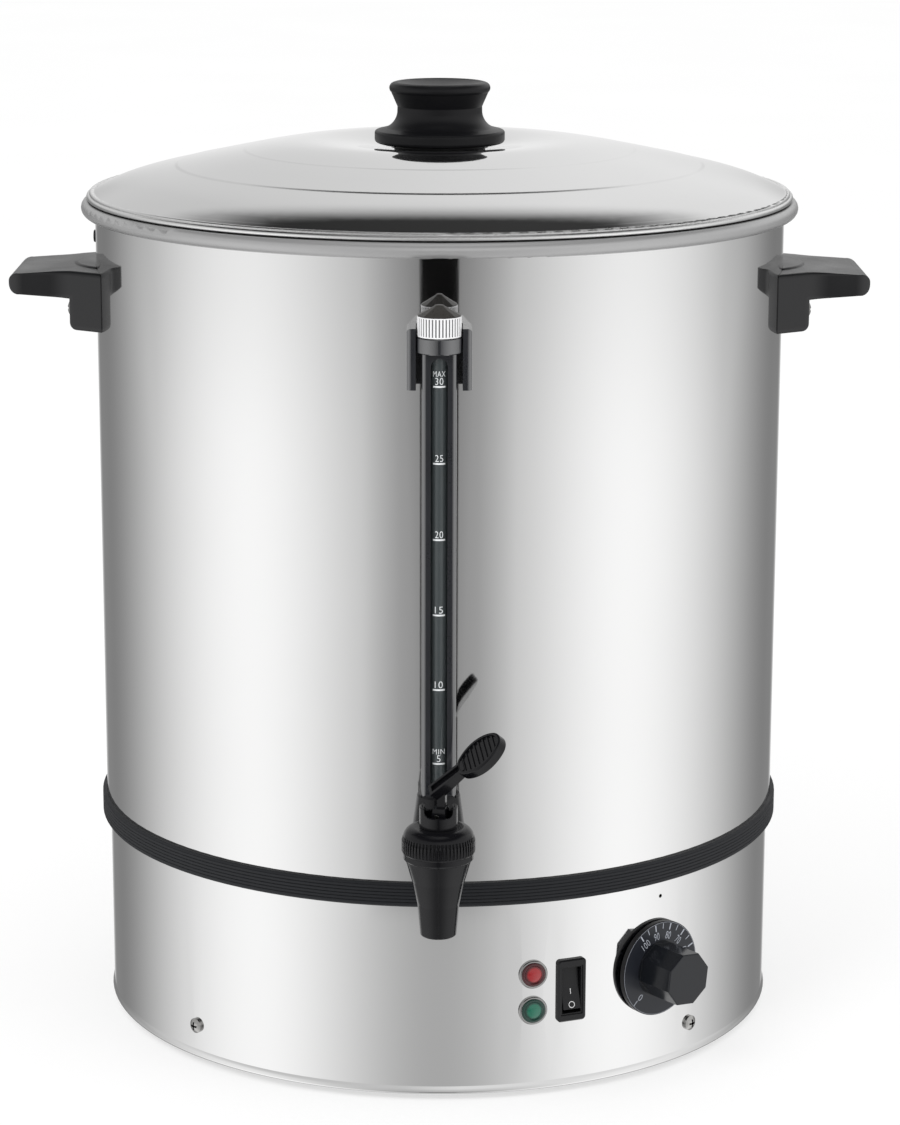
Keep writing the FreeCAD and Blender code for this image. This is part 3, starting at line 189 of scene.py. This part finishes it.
# ------------------------------------------------------------------ recipes
def polished_steel(g, edge=None):
    """Mirror-polished sheet: faint waves, cloudy wiping and fine vertical lines."""
    cloud = g.noise(7.0, 4.0, 0.6)
    lines = g.noise(60.0, 3.0, 0.6, stretch=(14.0, 14.0, 0.5))
    dull = g.math("MULTIPLY", g.span(cloud, 0.35, 0.75), g.span(lines, 0.2, 0.9))
    sheet = None if edge is None else g.soft_edges(edge * MM)
    waves = g.bump(g.noise(5.0, 1.5, 0.4), 0.0006, 0.14, sheet)
    return {
        "Base Color": g.mix(cloud, (0.732, 0.731, 0.729), (0.770, 0.770, 0.769)),
        "Metallic": 1.0,
        "Roughness": g.math("ADD", 0.035, g.math("MULTIPLY", dull, 0.05)),
        "Normal": g.bump(lines, 0.00002, 0.08, waves),
    }


def tank_steel(g):
    """The tank's sheet: polished outside, satin inside and on its rolled rim, with painted shade in the
    crevice under the lid.
    """
    looks = polished_steel(g, edge=1.2)
    radius = g.from_axis(CENTRE, UP)
    inside = g.span(radius, TANK_INSIDE - 0.15 * MM, TANK_INSIDE + 0.15 * MM, 1.0, 0.0)
    satin = g.noise(50.0, 4.0, 0.6, stretch=(1.0, 1.0, 8.0))
    rolled = g.span(radius, ROLL_START, ROLL_START + 0.7 * MM)
    # painted shade: the rolled rim's colour goes towards black where other parts, such as the lid's hem,
    # close over it
    painted_crevice_shade = g.span(g.openness(5.0 * MM, alone=False), 0.45, 0.9, 1.0, 0.0)
    outside = g.mix(rolled, looks["Base Color"], g.mix(painted_crevice_shade, (0.38, 0.38, 0.38), (0.02, 0.02, 0.02)))
    looks["Base Color"] = g.mix(inside, outside, (0.66, 0.66, 0.65))
    looks["Metallic"] = g.span(g.math("MAXIMUM", inside, rolled), 0.0, 1.0, 1.0, 0.45)
    rough = g.math("MULTIPLY", inside, g.span(satin, 0.2, 0.8, 0.26, 0.4))
    rough = g.math("ADD", rough, g.math("MULTIPLY", rolled, 0.2))
    looks["Roughness"] = g.math("ADD", looks["Roughness"], rough)
    return looks


def lid_steel(g):
    """The lid's sheet: polished, with a duller hem."""
    looks = polished_steel(g, edge=1.2)
    hem = g.span(g.from_axis(CENTRE, UP), HEM_START, HEM_START + 1.2 * MM, 0.0, 0.10)
    looks["Roughness"] = g.math("ADD", looks["Roughness"], hem)
    return looks


def plain_steel(g, tone=0.55, rough=0.28):
    """Unpolished sheet or a bright metal part with a fine rolled grain."""
    grain = g.noise(90.0, 4.0, 0.6, stretch=(1.0, 12.0, 1.0))
    cloud = g.noise(14.0)
    return {
        "Base Color": g.mix(cloud, (tone * 0.88,) * 3, (tone * 1.08, tone * 1.07, tone * 1.05)),
        "Metallic": 1.0,
        "Roughness": g.span(grain, 0.2, 0.8, rough * 0.75, rough * 1.35),
        "Normal": g.bump(grain, 0.00006, 0.25),
    }


def bright_screw(g):
    """Nickel-plated screw with small handling marks and painted shade in its recesses."""
    marks = g.noise(900.0, 3.0, 0.6)
    plate = g.mix(marks, (0.34, 0.34, 0.33), (0.52, 0.51, 0.50))
    return {
        # painted shade: the plating turns nearly black in the cross recess and other narrow hollows
        "Base Color": g.mix(g.span(g.openness(1.6 * MM), 0.55, 0.97), (0.02, 0.02, 0.02), plate),
        "Metallic": 1.0,
        "Roughness": g.span(marks, 0.3, 0.7, 0.12, 0.24),
        "Normal": g.bump(marks, 0.00002, 0.2, g.soft_edges(0.2 * MM)),
    }


def moulded(g, low=(0.005, 0.005, 0.006), high=(0.009, 0.009, 0.010), rough=0.36, edge=0.5,
            grain=1100.0, depth=0.000025, gloss=0.3, coat=0.0, shine=1.5):
    """Dark moulded plastic: fine spark grain, mottled gloss and softened edges."""
    fine = g.noise(grain, 4.0, 0.65)
    patches = g.noise(28.0, 3.0, 0.55)
    return {
        "Base Color": g.mix(patches, low, high),
        "Roughness": g.math("ADD", g.span(patches, 0.3, 0.7, rough - 0.05, rough + 0.05),
                            g.span(fine, 0.3, 0.7, -0.03, 0.03)),
        "IOR": 1.5,
        "Specular IOR Level": gloss,
        "Coat Weight": coat,
        "Coat Roughness": 0.09,
        "Coat IOR": shine,
        "Normal": g.bump(fine, depth, 0.55, g.soft_edges(edge * MM)),
    }


def rubber(g, tone=(0.02, 0.02, 0.021), rough=0.7):
    """Soft elastomer: dull and slightly blotched."""
    fine = g.noise(1500.0, 3.0, 0.7)
    patches = g.noise(70.0)
    return {
        "Base Color": g.mix(patches, tone, tuple(min(1.0, part * 1.25) for part in tone)),
        "Roughness": g.span(fine, 0.2, 0.8, rough - 0.1, rough + 0.12),
        "Normal": g.bump(fine, 0.00004, 0.5),
    }


def ribbed_band(g):
    """Black extruded band: even sheen with faint lengthwise drag lines."""
    drag = g.noise(40.0, 3.0, 0.6, stretch=(1.0, 1.0, 45.0))
    fine = g.noise(900.0)
    return {
        "Base Color": g.mix(drag, (0.005, 0.006, 0.008), (0.010, 0.011, 0.014)),
        "Roughness": g.span(drag, 0.2, 0.8, 0.45, 0.6),
        "Specular IOR Level": 0.34,
        "Normal": g.bump(fine, 0.00003, 0.4, g.soft_edges(0.6 * MM)),
    }


def white_cap(g):
    """White knurled moulding with painted shade in the grooves."""
    radius = g.from_axis(tube_axis(), UP)
    painted_groove_shade_mask = g.span(radius, 11.3 * MM, 11.5 * MM)
    patches = g.noise(160.0)
    unshaded_white = g.mix(patches, (0.80, 0.80, 0.81), (0.90, 0.90, 0.91))
    return {
        # painted shade: the knurl's grooves are coloured dark grey, the rest plain white
        "Base Color": g.mix(painted_groove_shade_mask, (0.12, 0.12, 0.125), unshaded_white),
        "Roughness": g.span(patches, 0.2, 0.8, 0.26, 0.4),
        "Normal": g.soft_edges(0.2 * MM),
    }


def smoked_tip(g):
    """Dark smooth tip, a little warmer than the black parts."""
    patches = g.noise(90.0, 3.0)
    fine = g.noise(1200.0)
    return {
        "Base Color": g.mix(patches, (0.022, 0.020, 0.018), (0.040, 0.037, 0.033)),
        "Roughness": g.span(fine, 0.2, 0.8, 0.24, 0.36),
        "Normal": g.bump(fine, 0.00002, 0.4, g.soft_edges(0.2 * MM)),
    }


def clear_tube(g):
    """Clear sight tube, dulled by scale inside and faintly drawn along its length."""
    drawn = g.noise(240.0, 2.0, 0.5, stretch=(1.0, 1.0, 0.02))
    scale = g.noise(60.0, 3.0, 0.6, stretch=(1.0, 1.0, 0.3))
    return {
        "Base Color": g.mix(scale, (0.085, 0.105, 0.110), (0.135, 0.155, 0.160)),
        "Roughness": g.span(drawn, 0.2, 0.8, 0.16, 0.24),
        "IOR": 1.49,
        "Transmission Weight": 0.55,
        "Normal": g.bump(drawn, 0.00005, 0.35),
    }


def dial_face(g):
    """Blue-black dial moulding with a fine turned sheen on the flange, and painted shade on the flange's
    side wall.
    """
    centre = joint_point("dial_turn")
    axis = joint_axis("dial_turn")
    radius = g.from_axis(centre, axis)
    along = g.vector("SCALE", (1.0, 1.0, 1.0), scale=g.math("MULTIPLY", radius, 2600.0))
    rings = g.noise(1.0, 2.0, 0.5, at=along)
    patches = g.noise(30.0, 3.0)
    grip = g.span(radius, 16.0 * MM, 16.4 * MM)
    sheen = g.span(rings, 0.2, 0.8, 0.28, 0.38)
    edge = g.span(radius, 26.75 * MM, 26.85 * MM)
    face = g.mix(patches, (0.010, 0.0115, 0.016), (0.017, 0.019, 0.025))
    knob = g.mix(patches, (0.0065, 0.0075, 0.0095), (0.011, 0.012, 0.015))
    # painted shade: the flange's side wall is coloured darker than its face
    side = g.mix(patches, (0.003, 0.003, 0.004), (0.006, 0.006, 0.007))
    return {
        "Base Color": g.mix(edge, g.mix(grip, knob, face), side),
        "Roughness": g.math("MULTIPLY", sheen, g.span(grip, 0.0, 1.0, 0.55, 1.0)),
        "Specular IOR Level": 0.36,
        "Normal": g.bump(g.noise(1300.0, 3.0), 0.00002, 0.4, g.soft_edges(0.45 * MM)),
    }


def lens(g, node, deep, bright):
    """Tinted lamp lens: deep ring, a brighter domed centre and a faint emission, both painted glow, under a
    glossy top coat.
    """
    low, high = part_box(node)
    centre = (low + high) / 2
    axis = Vector((centre.x, centre.y, 0)).normalized()
    radius = g.from_axis(centre, axis)
    # painted glow: the colour brightens towards the lens's centre, and the lens gives off a little light of
    # that colour
    painted_glow_mask = g.span(radius, 3.3 * MM, 5.0 * MM, 1.0, 0.0, smooth=True)
    frost = g.noise(900.0, 3.0, 0.6)
    lit = g.math("MULTIPLY", painted_glow_mask, g.span(frost, 0.2, 0.8, 0.82, 1.0))
    colour = g.mix(lit, deep, bright)
    return {
        "Base Color": colour,
        "Roughness": g.span(frost, 0.2, 0.8, 0.18, 0.3),
        "Emission Color": colour,
        "Emission Strength": 0.10,
        "Coat Weight": 0.35,
        "Coat Roughness": 0.06,
        "Normal": g.bump(frost, 0.00003, 0.3),
    }


def silicone(g):
    """Milky silicone, a little translucent."""
    patches = g.noise(120.0)
    return {
        "Base Color": g.mix(patches, (0.66, 0.65, 0.62), (0.76, 0.75, 0.72)),
        "Roughness": g.span(patches, 0.2, 0.8, 0.42, 0.6),
        "Subsurface Weight": 0.3,
        "Subsurface Radius": (0.002, 0.002, 0.0018),
        "Normal": g.bump(g.noise(900.0), 0.00003, 0.4),
    }


def copper(g):
    """Bright copper tube with darker tarnish in patches."""
    tarnish = g.noise(55.0, 4.0, 0.6)
    return {
        "Base Color": g.mix(g.span(tarnish, 0.4, 0.7), (0.83, 0.45, 0.30), (0.46, 0.24, 0.16)),
        "Metallic": 1.0,
        "Roughness": g.span(tarnish, 0.3, 0.7, 0.22, 0.42),
    }


def ink(g, tone):
    """Printed mark: nearly even, with slight wear in the film and a faint painted glow."""
    wear = g.noise(1800.0, 3.0, 0.7)
    worn = tuple(part * 0.8 for part in tone)
    return {
        "Base Color": g.mix(g.span(wear, 0.35, 0.6), worn, tone),
        "Roughness": g.span(wear, 0.2, 0.8, 0.4, 0.55),
        # painted glow: the print gives off a little light of its own colour
        "Emission Color": tone,
        "Emission Strength": 0.12,
    }


# ------------------------------------------------------------------ places
def joint_point(name):
    return Vector(JOINTS[name]["pos_m"])


def joint_axis(name):
    return Vector(JOINTS[name]["axis"]).normalized()


def tube_axis():
    """A point on the sight tube's vertical axis."""
    low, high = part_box("gauge_tube")
    return (low + high) / 2


def dress(slots):
    """Give every CAD node the material of its slot."""
    for entry in RECORD["subparts"]:
        made = slots.get(entry["node"]) or slots[entry["material_slot"]]
        mesh_object = NODES[entry["node"]]
        for holder in mesh_object.material_slots:
            holder.material = made


def add_piece(name, mesh, made, body):
    piece = bpy.data.objects.new(name, mesh)
    bpy.context.scene.collection.objects.link(piece)
    mesh.materials.clear()
    mesh.materials.append(made)
    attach(piece, body)
    return piece


# ------------------------------------------------------------------ marks
FILM = 0.08 * MM                 # thickness of a printed mark
PROUD = 0.01 * MM                # how far its middle stands off the surface
THINNER = -0.010                 # the built-in letters, drawn in by this share of their size
SPACED = 1.08                    # and set this much further apart


def text_bmesh(body, width, height):
    """A short text as a solid, centred on the origin, reading along +X."""
    curve = bpy.data.curves.new("mark_text", "FONT")
    curve.body = body
    curve.extrude = 0.05
    curve.offset = THINNER
    curve.space_character = SPACED
    curve.resolution_u = 4
    holder = bpy.data.objects.new("mark_text", curve)
    bpy.context.scene.collection.objects.link(holder)
    graph = bpy.context.evaluated_depsgraph_get()
    graph.update()
    mesh = bpy.data.meshes.new_from_object(holder.evaluated_get(graph))
    bpy.data.objects.remove(holder)
    bpy.data.curves.remove(curve)
    form = bmesh.new()
    form.from_mesh(mesh)
    bpy.data.meshes.remove(mesh)
    bmesh.ops.remove_doubles(form, verts=form.verts, dist=1e-5)
    low = Vector([min(v.co[i] for v in form.verts) for i in range(3)])
    high = Vector([max(v.co[i] for v in form.verts) for i in range(3)])
    middle = (low + high) / 2
    size = high - low
    for vertex in form.verts:
        offset = vertex.co - middle
        vertex.co = Vector((offset.x / size.x * width, offset.y / size.y * height, offset.z / size.z * FILM))
    return form


def bar_bmesh(width, height, cuts=0):
    """A flat bar as a solid, centred on the origin, cut across its width."""
    form = bmesh.new()
    bmesh.ops.create_cube(form, size=1.0, matrix=Matrix.Diagonal((width, height, FILM, 1.0)))
    slice_upright(form, width, cuts)
    return form


def slice_upright(form, width, cuts):
    """Cut a mark into upright strips, so that it can bend."""
    for index in range(cuts):
        x = width * ((index + 1) / (cuts + 1) - 0.5)
        geometry = form.verts[:] + form.edges[:] + form.faces[:]
        bmesh.ops.bisect_plane(form, geom=geometry, plane_co=(x, 0, 0), plane_no=(1, 0, 0))


def ring_bmesh(radius, width, count=48):
    """A flat ring about the origin, as a solid."""
    form = bmesh.new()
    rows = []
    for index in range(count):
        angle = math.radians(360.0 * index / count)
        row = []
        for reach, z in ((radius - width / 2, -FILM / 2), (radius + width / 2, -FILM / 2),
                         (radius + width / 2, FILM / 2), (radius - width / 2, FILM / 2)):
            row.append(form.verts.new((reach * math.sin(angle), reach * math.cos(angle), z)))
        rows.append(row)
    for index, here in enumerate(rows):
        there = rows[(index + 1) % count]
        for side in range(4):
            follow = (side + 1) % 4
            form.faces.new((here[side], here[follow], there[follow], there[side]))
    bmesh.ops.recalc_face_normals(form, faces=form.faces)
    return form


def placed(form, origin, right, up):
    """Move a mark from its own XY plane to a plane in the frame."""
    out = right.cross(up)
    turn = Matrix((right, up, out)).transposed().to_4x4()
    bmesh.ops.transform(form, matrix=Matrix.Translation(origin) @ turn, verts=form.verts)
    return form


def wrapped(form, centre, radius, z):
    """Bend a mark round a vertical cylinder, on its front side."""
    for vertex in form.verts:
        angle = vertex.co.x / radius
        reach = radius + vertex.co.z
        vertex.co = Vector((centre.x + reach * math.sin(angle), centre.y - reach * math.cos(angle),
                            z + vertex.co.y))
    return form


def joined(forms):
    """One mesh from several forms."""
    whole = bpy.data.meshes.new("marks")
    total = bmesh.new()
    for form in forms:
        part = bpy.data.meshes.new("part")
        form.to_mesh(part)
        form.free()
        total.from_mesh(part)
        bpy.data.meshes.remove(part)
    total.to_mesh(whole)
    total.free()
    return whole


def gauge_marks(made):
    """Litre marks on the sight tube: a tick under each number."""
    centre = tube_axis()
    low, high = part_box("gauge_tube")
    radius = (high.x - low.x) / 2 + PROUD
    top_mark = 404.3 * MM
    pitch = 40.6 * MM
    tick_width = 6.8 * MM
    tick_height = 0.9 * MM
    digit_height = 3.65 * MM
    word_height = 2.9 * MM
    number_rise = (0.45 + 0.6 + 1.83) * MM           # from the tick's middle to the number's
    word_rise = number_rise + (1.83 + 0.55 + 1.45) * MM
    for index, litres in enumerate((30, 25, 20, 15, 10, 5)):
        z = top_mark - pitch * index
        forms = [wrapped(bar_bmesh(tick_width, tick_height, 24), centre, radius, z)]
        digits = str(litres)
        width = 4.3 * MM if len(digits) == 2 else 2.0 * MM
        number = text_bmesh(digits, width, digit_height)
        slice_upright(number, width, 14)
        forms.append(wrapped(number, centre, radius, z + number_rise))
        word = {30: "MAX", 5: "MIN"}.get(litres)
        if word:
            label = text_bmesh(word, tick_width, word_height)
            slice_upright(label, tick_width, 24)
            forms.append(wrapped(label, centre, radius, z + word_rise))
        add_piece("gauge_mark_%02d" % litres, joined(forms), made, "boiler")


def dial_marks(made):
    """Temperature scale on the dial's flange, with the foot of each number inwards, and a painted highlight
    round the flange's edge.
    """
    axis = joint_axis("dial_turn")
    across = UP.cross(axis).normalized()
    face = 3.8 * MM                                  # the flange's face, from the joint's point
    centre = joint_point("dial_turn") + axis * (face + PROUD)
    first = -34.3                                    # degrees clockwise from the top
    step = 25.7
    off = -133.0
    digit_width = 1.9 * MM
    digit_height = 4.3 * MM

    def around(form, degrees, reach):
        angle = math.radians(degrees)
        outward = across * math.sin(angle) + UP * math.cos(angle)
        sideways = across * math.cos(angle) - UP * math.sin(angle)
        return placed(form, centre + outward * reach, sideways, outward)

    ticks = []
    numbers = []
    for index in range(8):
        angle = first + step * index
        ticks.append(around(bar_bmesh(0.75 * MM, 3.8 * MM), angle, 24.2 * MM))
        if index < 7:
            ticks.append(around(bar_bmesh(0.4 * MM, 3.2 * MM), angle + step / 2, 24.5 * MM))
        digits = str(100 - 10 * index)
        number = text_bmesh(digits, digit_width * len(digits), digit_height)
        numbers.append(around(number, angle, 19.2 * MM))
    add_piece("dial_ticks", joined(ticks), made, "dial")
    add_piece("dial_numbers", joined(numbers), made, "dial")
    # painted highlight: the thin pale ring at 26.6 mm stands for the light on the flange's chamfer
    forms = [around(bar_bmesh(0.4 * MM, 3.6 * MM), off, 24.6 * MM),
             around(text_bmesh("0", 2.4 * MM, 3.8 * MM), off - 1.5, 20.2 * MM),
             around(ring_bmesh(26.6 * MM, 0.13 * MM, 96), 0.0, 0.0)]
    add_piece("dial_off_mark_and_painted_edge_highlight", joined(forms), made, "dial")


def rocker_marks(made):
    """I and O on the rocker's lower half."""
    pivot = joint_point("rocker_press")
    out = Vector((pivot.x, pivot.y, 0)).normalized()
    across = UP.cross(out).normalized()
    lean = math.radians(11.0)

    def corner(z, reach):
        """A point of the rocker's profile, in millimetres before it leans."""
        return (pivot + out * (reach * math.cos(lean) - z * math.sin(lean)) * MM
                + UP * (z * math.cos(lean) + reach * math.sin(lean)) * MM)

    crease = corner(0.0, 4.3)
    end = corner(-12.0, 5.2)
    upward = (crease - end).normalized()
    lift = across.cross(upward) * PROUD
    stroke = bar_bmesh(0.42 * MM, 3.0 * MM)
    ring = ring_bmesh(1.65 * MM, 0.38 * MM)
    forms = [placed(stroke, crease.lerp(end, 0.17) + lift, across, upward),
             placed(ring, crease.lerp(end, 0.79) + lift, across, upward)]
    add_piece("rocker_marks", joined(forms), made, "rocker")


# ------------------------------------------------------------------ set and light
# The light tent that polished steel sees, listed and eased from point to point.
# (degrees from the front, level): the camera's side, a lit wall, a dim corner and the backdrop.
AROUND = ((0, 0.38), (65, 0.92), (150, 0.19), (160, 0.19), (178, 0.75))
# (degrees above the horizon, share of the level): a slight dip, then the dark edge of the roof.
ABOVE = ((-12, 1.0), (-7, 0.86), (14, 1.0), (32, 1.0), (50, 0.05), (60, 0.05), (86, 0.85))
BACK_LEVEL = 0.68                # all round, from some way above the horizon
BACK_FALL = 0.76                 # what is left of it on the left-hand side
BACK_FROM = -2.0                 # degrees above the horizon where it starts to take over
BACK_FULL = 16.0
WALL_BEND = 0.3                  # behind: 1 puts the shares above on level rings, 0 on a flat wall
STEEL_SHARE = 0.75               # what the steel gives back of the light it sees
GAP_HALF_ANGLE = 6.3             # the dark gap in the light tent, straight in front
GAP_BOTTOM = -18.8
GAP_TOP = -6.0
GAP_LEVEL = 0.02
GAP_SHADE = 0.6                  # share of light left beside the gap, rising to 1 further round
AMBIENT = 0.95                   # what everything but a mirror sees, all round


def mirror_level(g):
    """The level that a mirror sees in each direction."""
    x, y, z = g.parts(g.node("ShaderNodeTexCoord").outputs["Generated"])
    turn = g.math("ABSOLUTE", g.math("ARCTAN2", x, g.math("MULTIPLY", y, -1.0)))
    turn = g.math("MULTIPLY", turn, 180 / math.pi)
    height = g.math("MULTIPLY", g.math("ARCSINE", z), 180 / math.pi)
    sideways = g.math("MULTIPLY", x, g.span(y, 0.3, 0.65, 1.0, WALL_BEND))
    away = g.math("ADD", g.math("MULTIPLY", sideways, sideways), g.math("MULTIPLY", y, y))
    on_wall = g.math("MULTIPLY", g.math("ARCTAN2", z, g.math("SQRT", away)), 180 / math.pi)
    ring = g.ramp(g.math("DIVIDE", turn, 180.0), [(angle / 180, level) for angle, level in AROUND])
    rise = g.ramp(g.math("DIVIDE", g.math("ADD", on_wall, 90.0), 180.0),
                  [((angle + 90) / 180, level) for angle, level in ABOVE])
    back = g.span(x, -0.2, 0.12, BACK_LEVEL * BACK_FALL, BACK_LEVEL)
    ring = g.mix(g.span(height, BACK_FROM, BACK_FULL, smooth=True), ring, g.mix(1.0, BLACK, back))
    level = g.math("MULTIPLY", g.math("MULTIPLY", ring, rise), gap_share(g, turn, height))
    return g.math("DIVIDE", level, STEEL_SHARE)


def gap_share(g, turn, height):
    """The share of light left in and beside the dark gap; turn and height in degrees."""
    beside = g.span(turn, GAP_HALF_ANGLE - 0.3, GAP_HALF_ANGLE + 0.3, smooth=True)
    under = g.span(height, GAP_BOTTOM - 0.5, GAP_BOTTOM + 0.5, 1.0, 0.0, smooth=True)
    over = g.span(height, GAP_TOP - 0.5, GAP_TOP + 0.5, smooth=True)
    clear = g.math("MAXIMUM", under, over)
    shade = g.span(turn, GAP_HALF_ANGLE, 4 * GAP_HALF_ANGLE, GAP_SHADE, 1.0)
    share = g.span(g.math("MAXIMUM", beside, clear), 0.0, 1.0, GAP_LEVEL, 1.0)
    return g.math("MULTIPLY", share, g.math("MAXIMUM", shade, clear))


def studio_world():
    """Mirrors see a light tent with a dark gap; all else sees even white."""
    world = bpy.data.worlds.new("studio")
    bpy.context.scene.world = world
    world.use_nodes = True
    tree = world.node_tree
    tree.nodes.clear()
    g = Graph(tree)
    mirrored = g.node("ShaderNodeBackground")
    g.feed(mirrored.inputs["Color"], g.mix(1.0, BLACK, mirror_level(g)))
    ambient = g.node("ShaderNodeBackground")
    g.feed(ambient.inputs["Color"], (1.0, 1.0, 1.0))
    g.feed(ambient.inputs["Strength"], AMBIENT)
    choose = g.node("ShaderNodeMixShader")
    g.feed(choose.inputs[0], g.node("ShaderNodeLightPath").outputs["Is Glossy Ray"])
    g.feed(choose.inputs[1], ambient.outputs[0])
    g.feed(choose.inputs[2], mirrored.outputs[0])
    output = g.node("ShaderNodeOutputWorld")
    g.feed(output.inputs["Surface"], choose.outputs[0])


def floor_recipe(g):
    """Matt white sweep with a barely visible unevenness."""
    cloud = g.noise(2.0, 2.0)
    return {
        "Base Color": g.mix(cloud, (0.44, 0.44, 0.44), (0.47, 0.47, 0.47)),
        "Roughness": 1.0,
        "Specular IOR Level": 0.0,
        "Emission Color": (1.0, 1.0, 1.0),
        "Emission Strength": 0.56,
    }


def studio_floor():
    """A large plain floor that the steel doesn't mirror."""
    mesh = bpy.data.meshes.new("floor")
    half = 30.0
    corners = [(-half, -half, 0), (half, -half, 0), (half, half, 0), (-half, half, 0)]
    mesh.from_pydata(corners, [], [(0, 1, 2, 3)])
    floor = bpy.data.objects.new("floor", mesh)
    bpy.context.scene.collection.objects.link(floor)
    mesh.materials.append(material("floor_white", floor_recipe))
    floor.visible_glossy = False


def soft_light(name, place, size, power):
    """A large panel aimed at the boiler's middle, unseen in the steel."""
    data = bpy.data.lights.new(name, "AREA")
    data.shape = "DISK"
    data.size = size
    data.energy = power
    lamp = bpy.data.objects.new(name, data)
    bpy.context.scene.collection.objects.link(lamp)
    lamp.location = place
    aim = BOILER_MIDDLE - Vector(place)
    lamp.rotation_euler = aim.to_track_quat("-Z", "Y").to_euler()
    lamp.visible_glossy = False


def camera():
    """The photograph's view: a long lens, looking down by 13.15 degrees."""
    data = bpy.data.cameras.new("view")
    data.sensor_width = 36.0
    data.lens = 106.72
    data.shift_x = 0.0098
    data.clip_start = 0.05
    data.clip_end = 200.0
    eye = bpy.data.objects.new("view", data)
    bpy.context.scene.collection.objects.link(eye)
    tilt = math.radians(90.0 - 13.15)
    roll = 0.0018
    turn = Matrix.Rotation(tilt, 4, "X") @ Matrix.Rotation(roll, 4, "Z")
    eye.matrix_world = Matrix.Translation((0, -1.9216, 0.7082)) @ turn
    bpy.context.scene.camera = eye


# ------------------------------------------------------------------ assembly
def all_materials():
    return {
        "polished_steel": material("polished_steel", polished_steel),
        "lid_shell": material("lid_steel", lid_steel),
        "tank_shell": material("tank_steel", tank_steel),
        "plain_steel": material("plain_steel", plain_steel),
        "black_band": material("black_band", ribbed_band),
        "grip_plastic": material("grip_plastic", moulded, rough=0.34, edge=0.8, gloss=0.4),
        "knob_plastic": material("knob_plastic", moulded, low=(0.003, 0.003, 0.004),
                                 high=(0.006, 0.006, 0.007), rough=0.40, edge=0.6, gloss=0.25),
        "plug_plastic": material("plug_plastic", rubber, tone=(0.012, 0.012, 0.013), rough=0.55),
        "tap_plastic": material("tap_plastic", moulded, low=(0.003, 0.003, 0.004),
                                high=(0.006, 0.006, 0.007), rough=0.24, edge=0.4, gloss=0.1, coat=0.3),
        "gauge_plastic": material("gauge_plastic", moulded, low=(0.013, 0.014, 0.017),
                                  high=(0.020, 0.021, 0.025), rough=0.3, edge=0.6, gloss=0.4, coat=1.0,
                                  shine=2.1),
        "gauge_tip_plastic": material("gauge_tip_plastic", smoked_tip),
        "white_plastic": material("white_plastic", white_cap),
        "clear_tube": material("clear_tube", clear_tube),
        "dial_plastic": material("dial_plastic", dial_face),
        "switch_plastic": material("switch_plastic", moulded, rough=0.3, edge=0.35, gloss=0.3),
        "red_lens": material("red_lens", lens, node="red_lamp", deep=(0.045, 0.004, 0.006),
                             bright=(0.30, 0.010, 0.014)),
        "green_lens": material("green_lens", lens, node="green_lamp", deep=(0.003, 0.028, 0.020),
                               bright=(0.006, 0.125, 0.075)),
        "lamp_trim": material("lamp_trim", plain_steel, tone=0.34, rough=0.12),
        "retainer_steel": material("retainer_steel", plain_steel, tone=0.45, rough=0.3),
        "screw_steel": material("screw_steel", bright_screw),
        "foot_rubber": material("foot_rubber", rubber),
        "silicone": material("silicone", silicone),
        "gland_plastic": material("gland_plastic", moulded, rough=0.42),
        "spreader_aluminium": material("spreader_aluminium", plain_steel, tone=0.62, rough=0.38),
        "element_steel": material("element_steel", plain_steel, tone=0.26, rough=0.42),
        "inner_plastic": material("inner_plastic", rubber, tone=(0.62, 0.58, 0.50), rough=0.5),
        "copper": material("copper", copper),
    }


def main():
    dress(all_materials())
    gauge_marks(material("gauge_ink", ink, tone=(0.80, 0.82, 0.83)))
    dial_marks(material("dial_ink_and_edge_highlight", ink, tone=(0.40, 0.42, 0.47)))
    rocker_marks(material("rocker_ink", ink, tone=(0.62, 0.62, 0.62)))
    studio_world()
    studio_floor()
    soft_light("key", (-1.6, -2.2, 2.6), 1.6, 30.0)
    soft_light("fill", (2.2, -1.4, 1.6), 1.8, 14.0)
    camera()
    bpy.context.scene.view_settings.view_transform = "Standard"
    bpy.context.scene.view_settings.look = "None"


main()
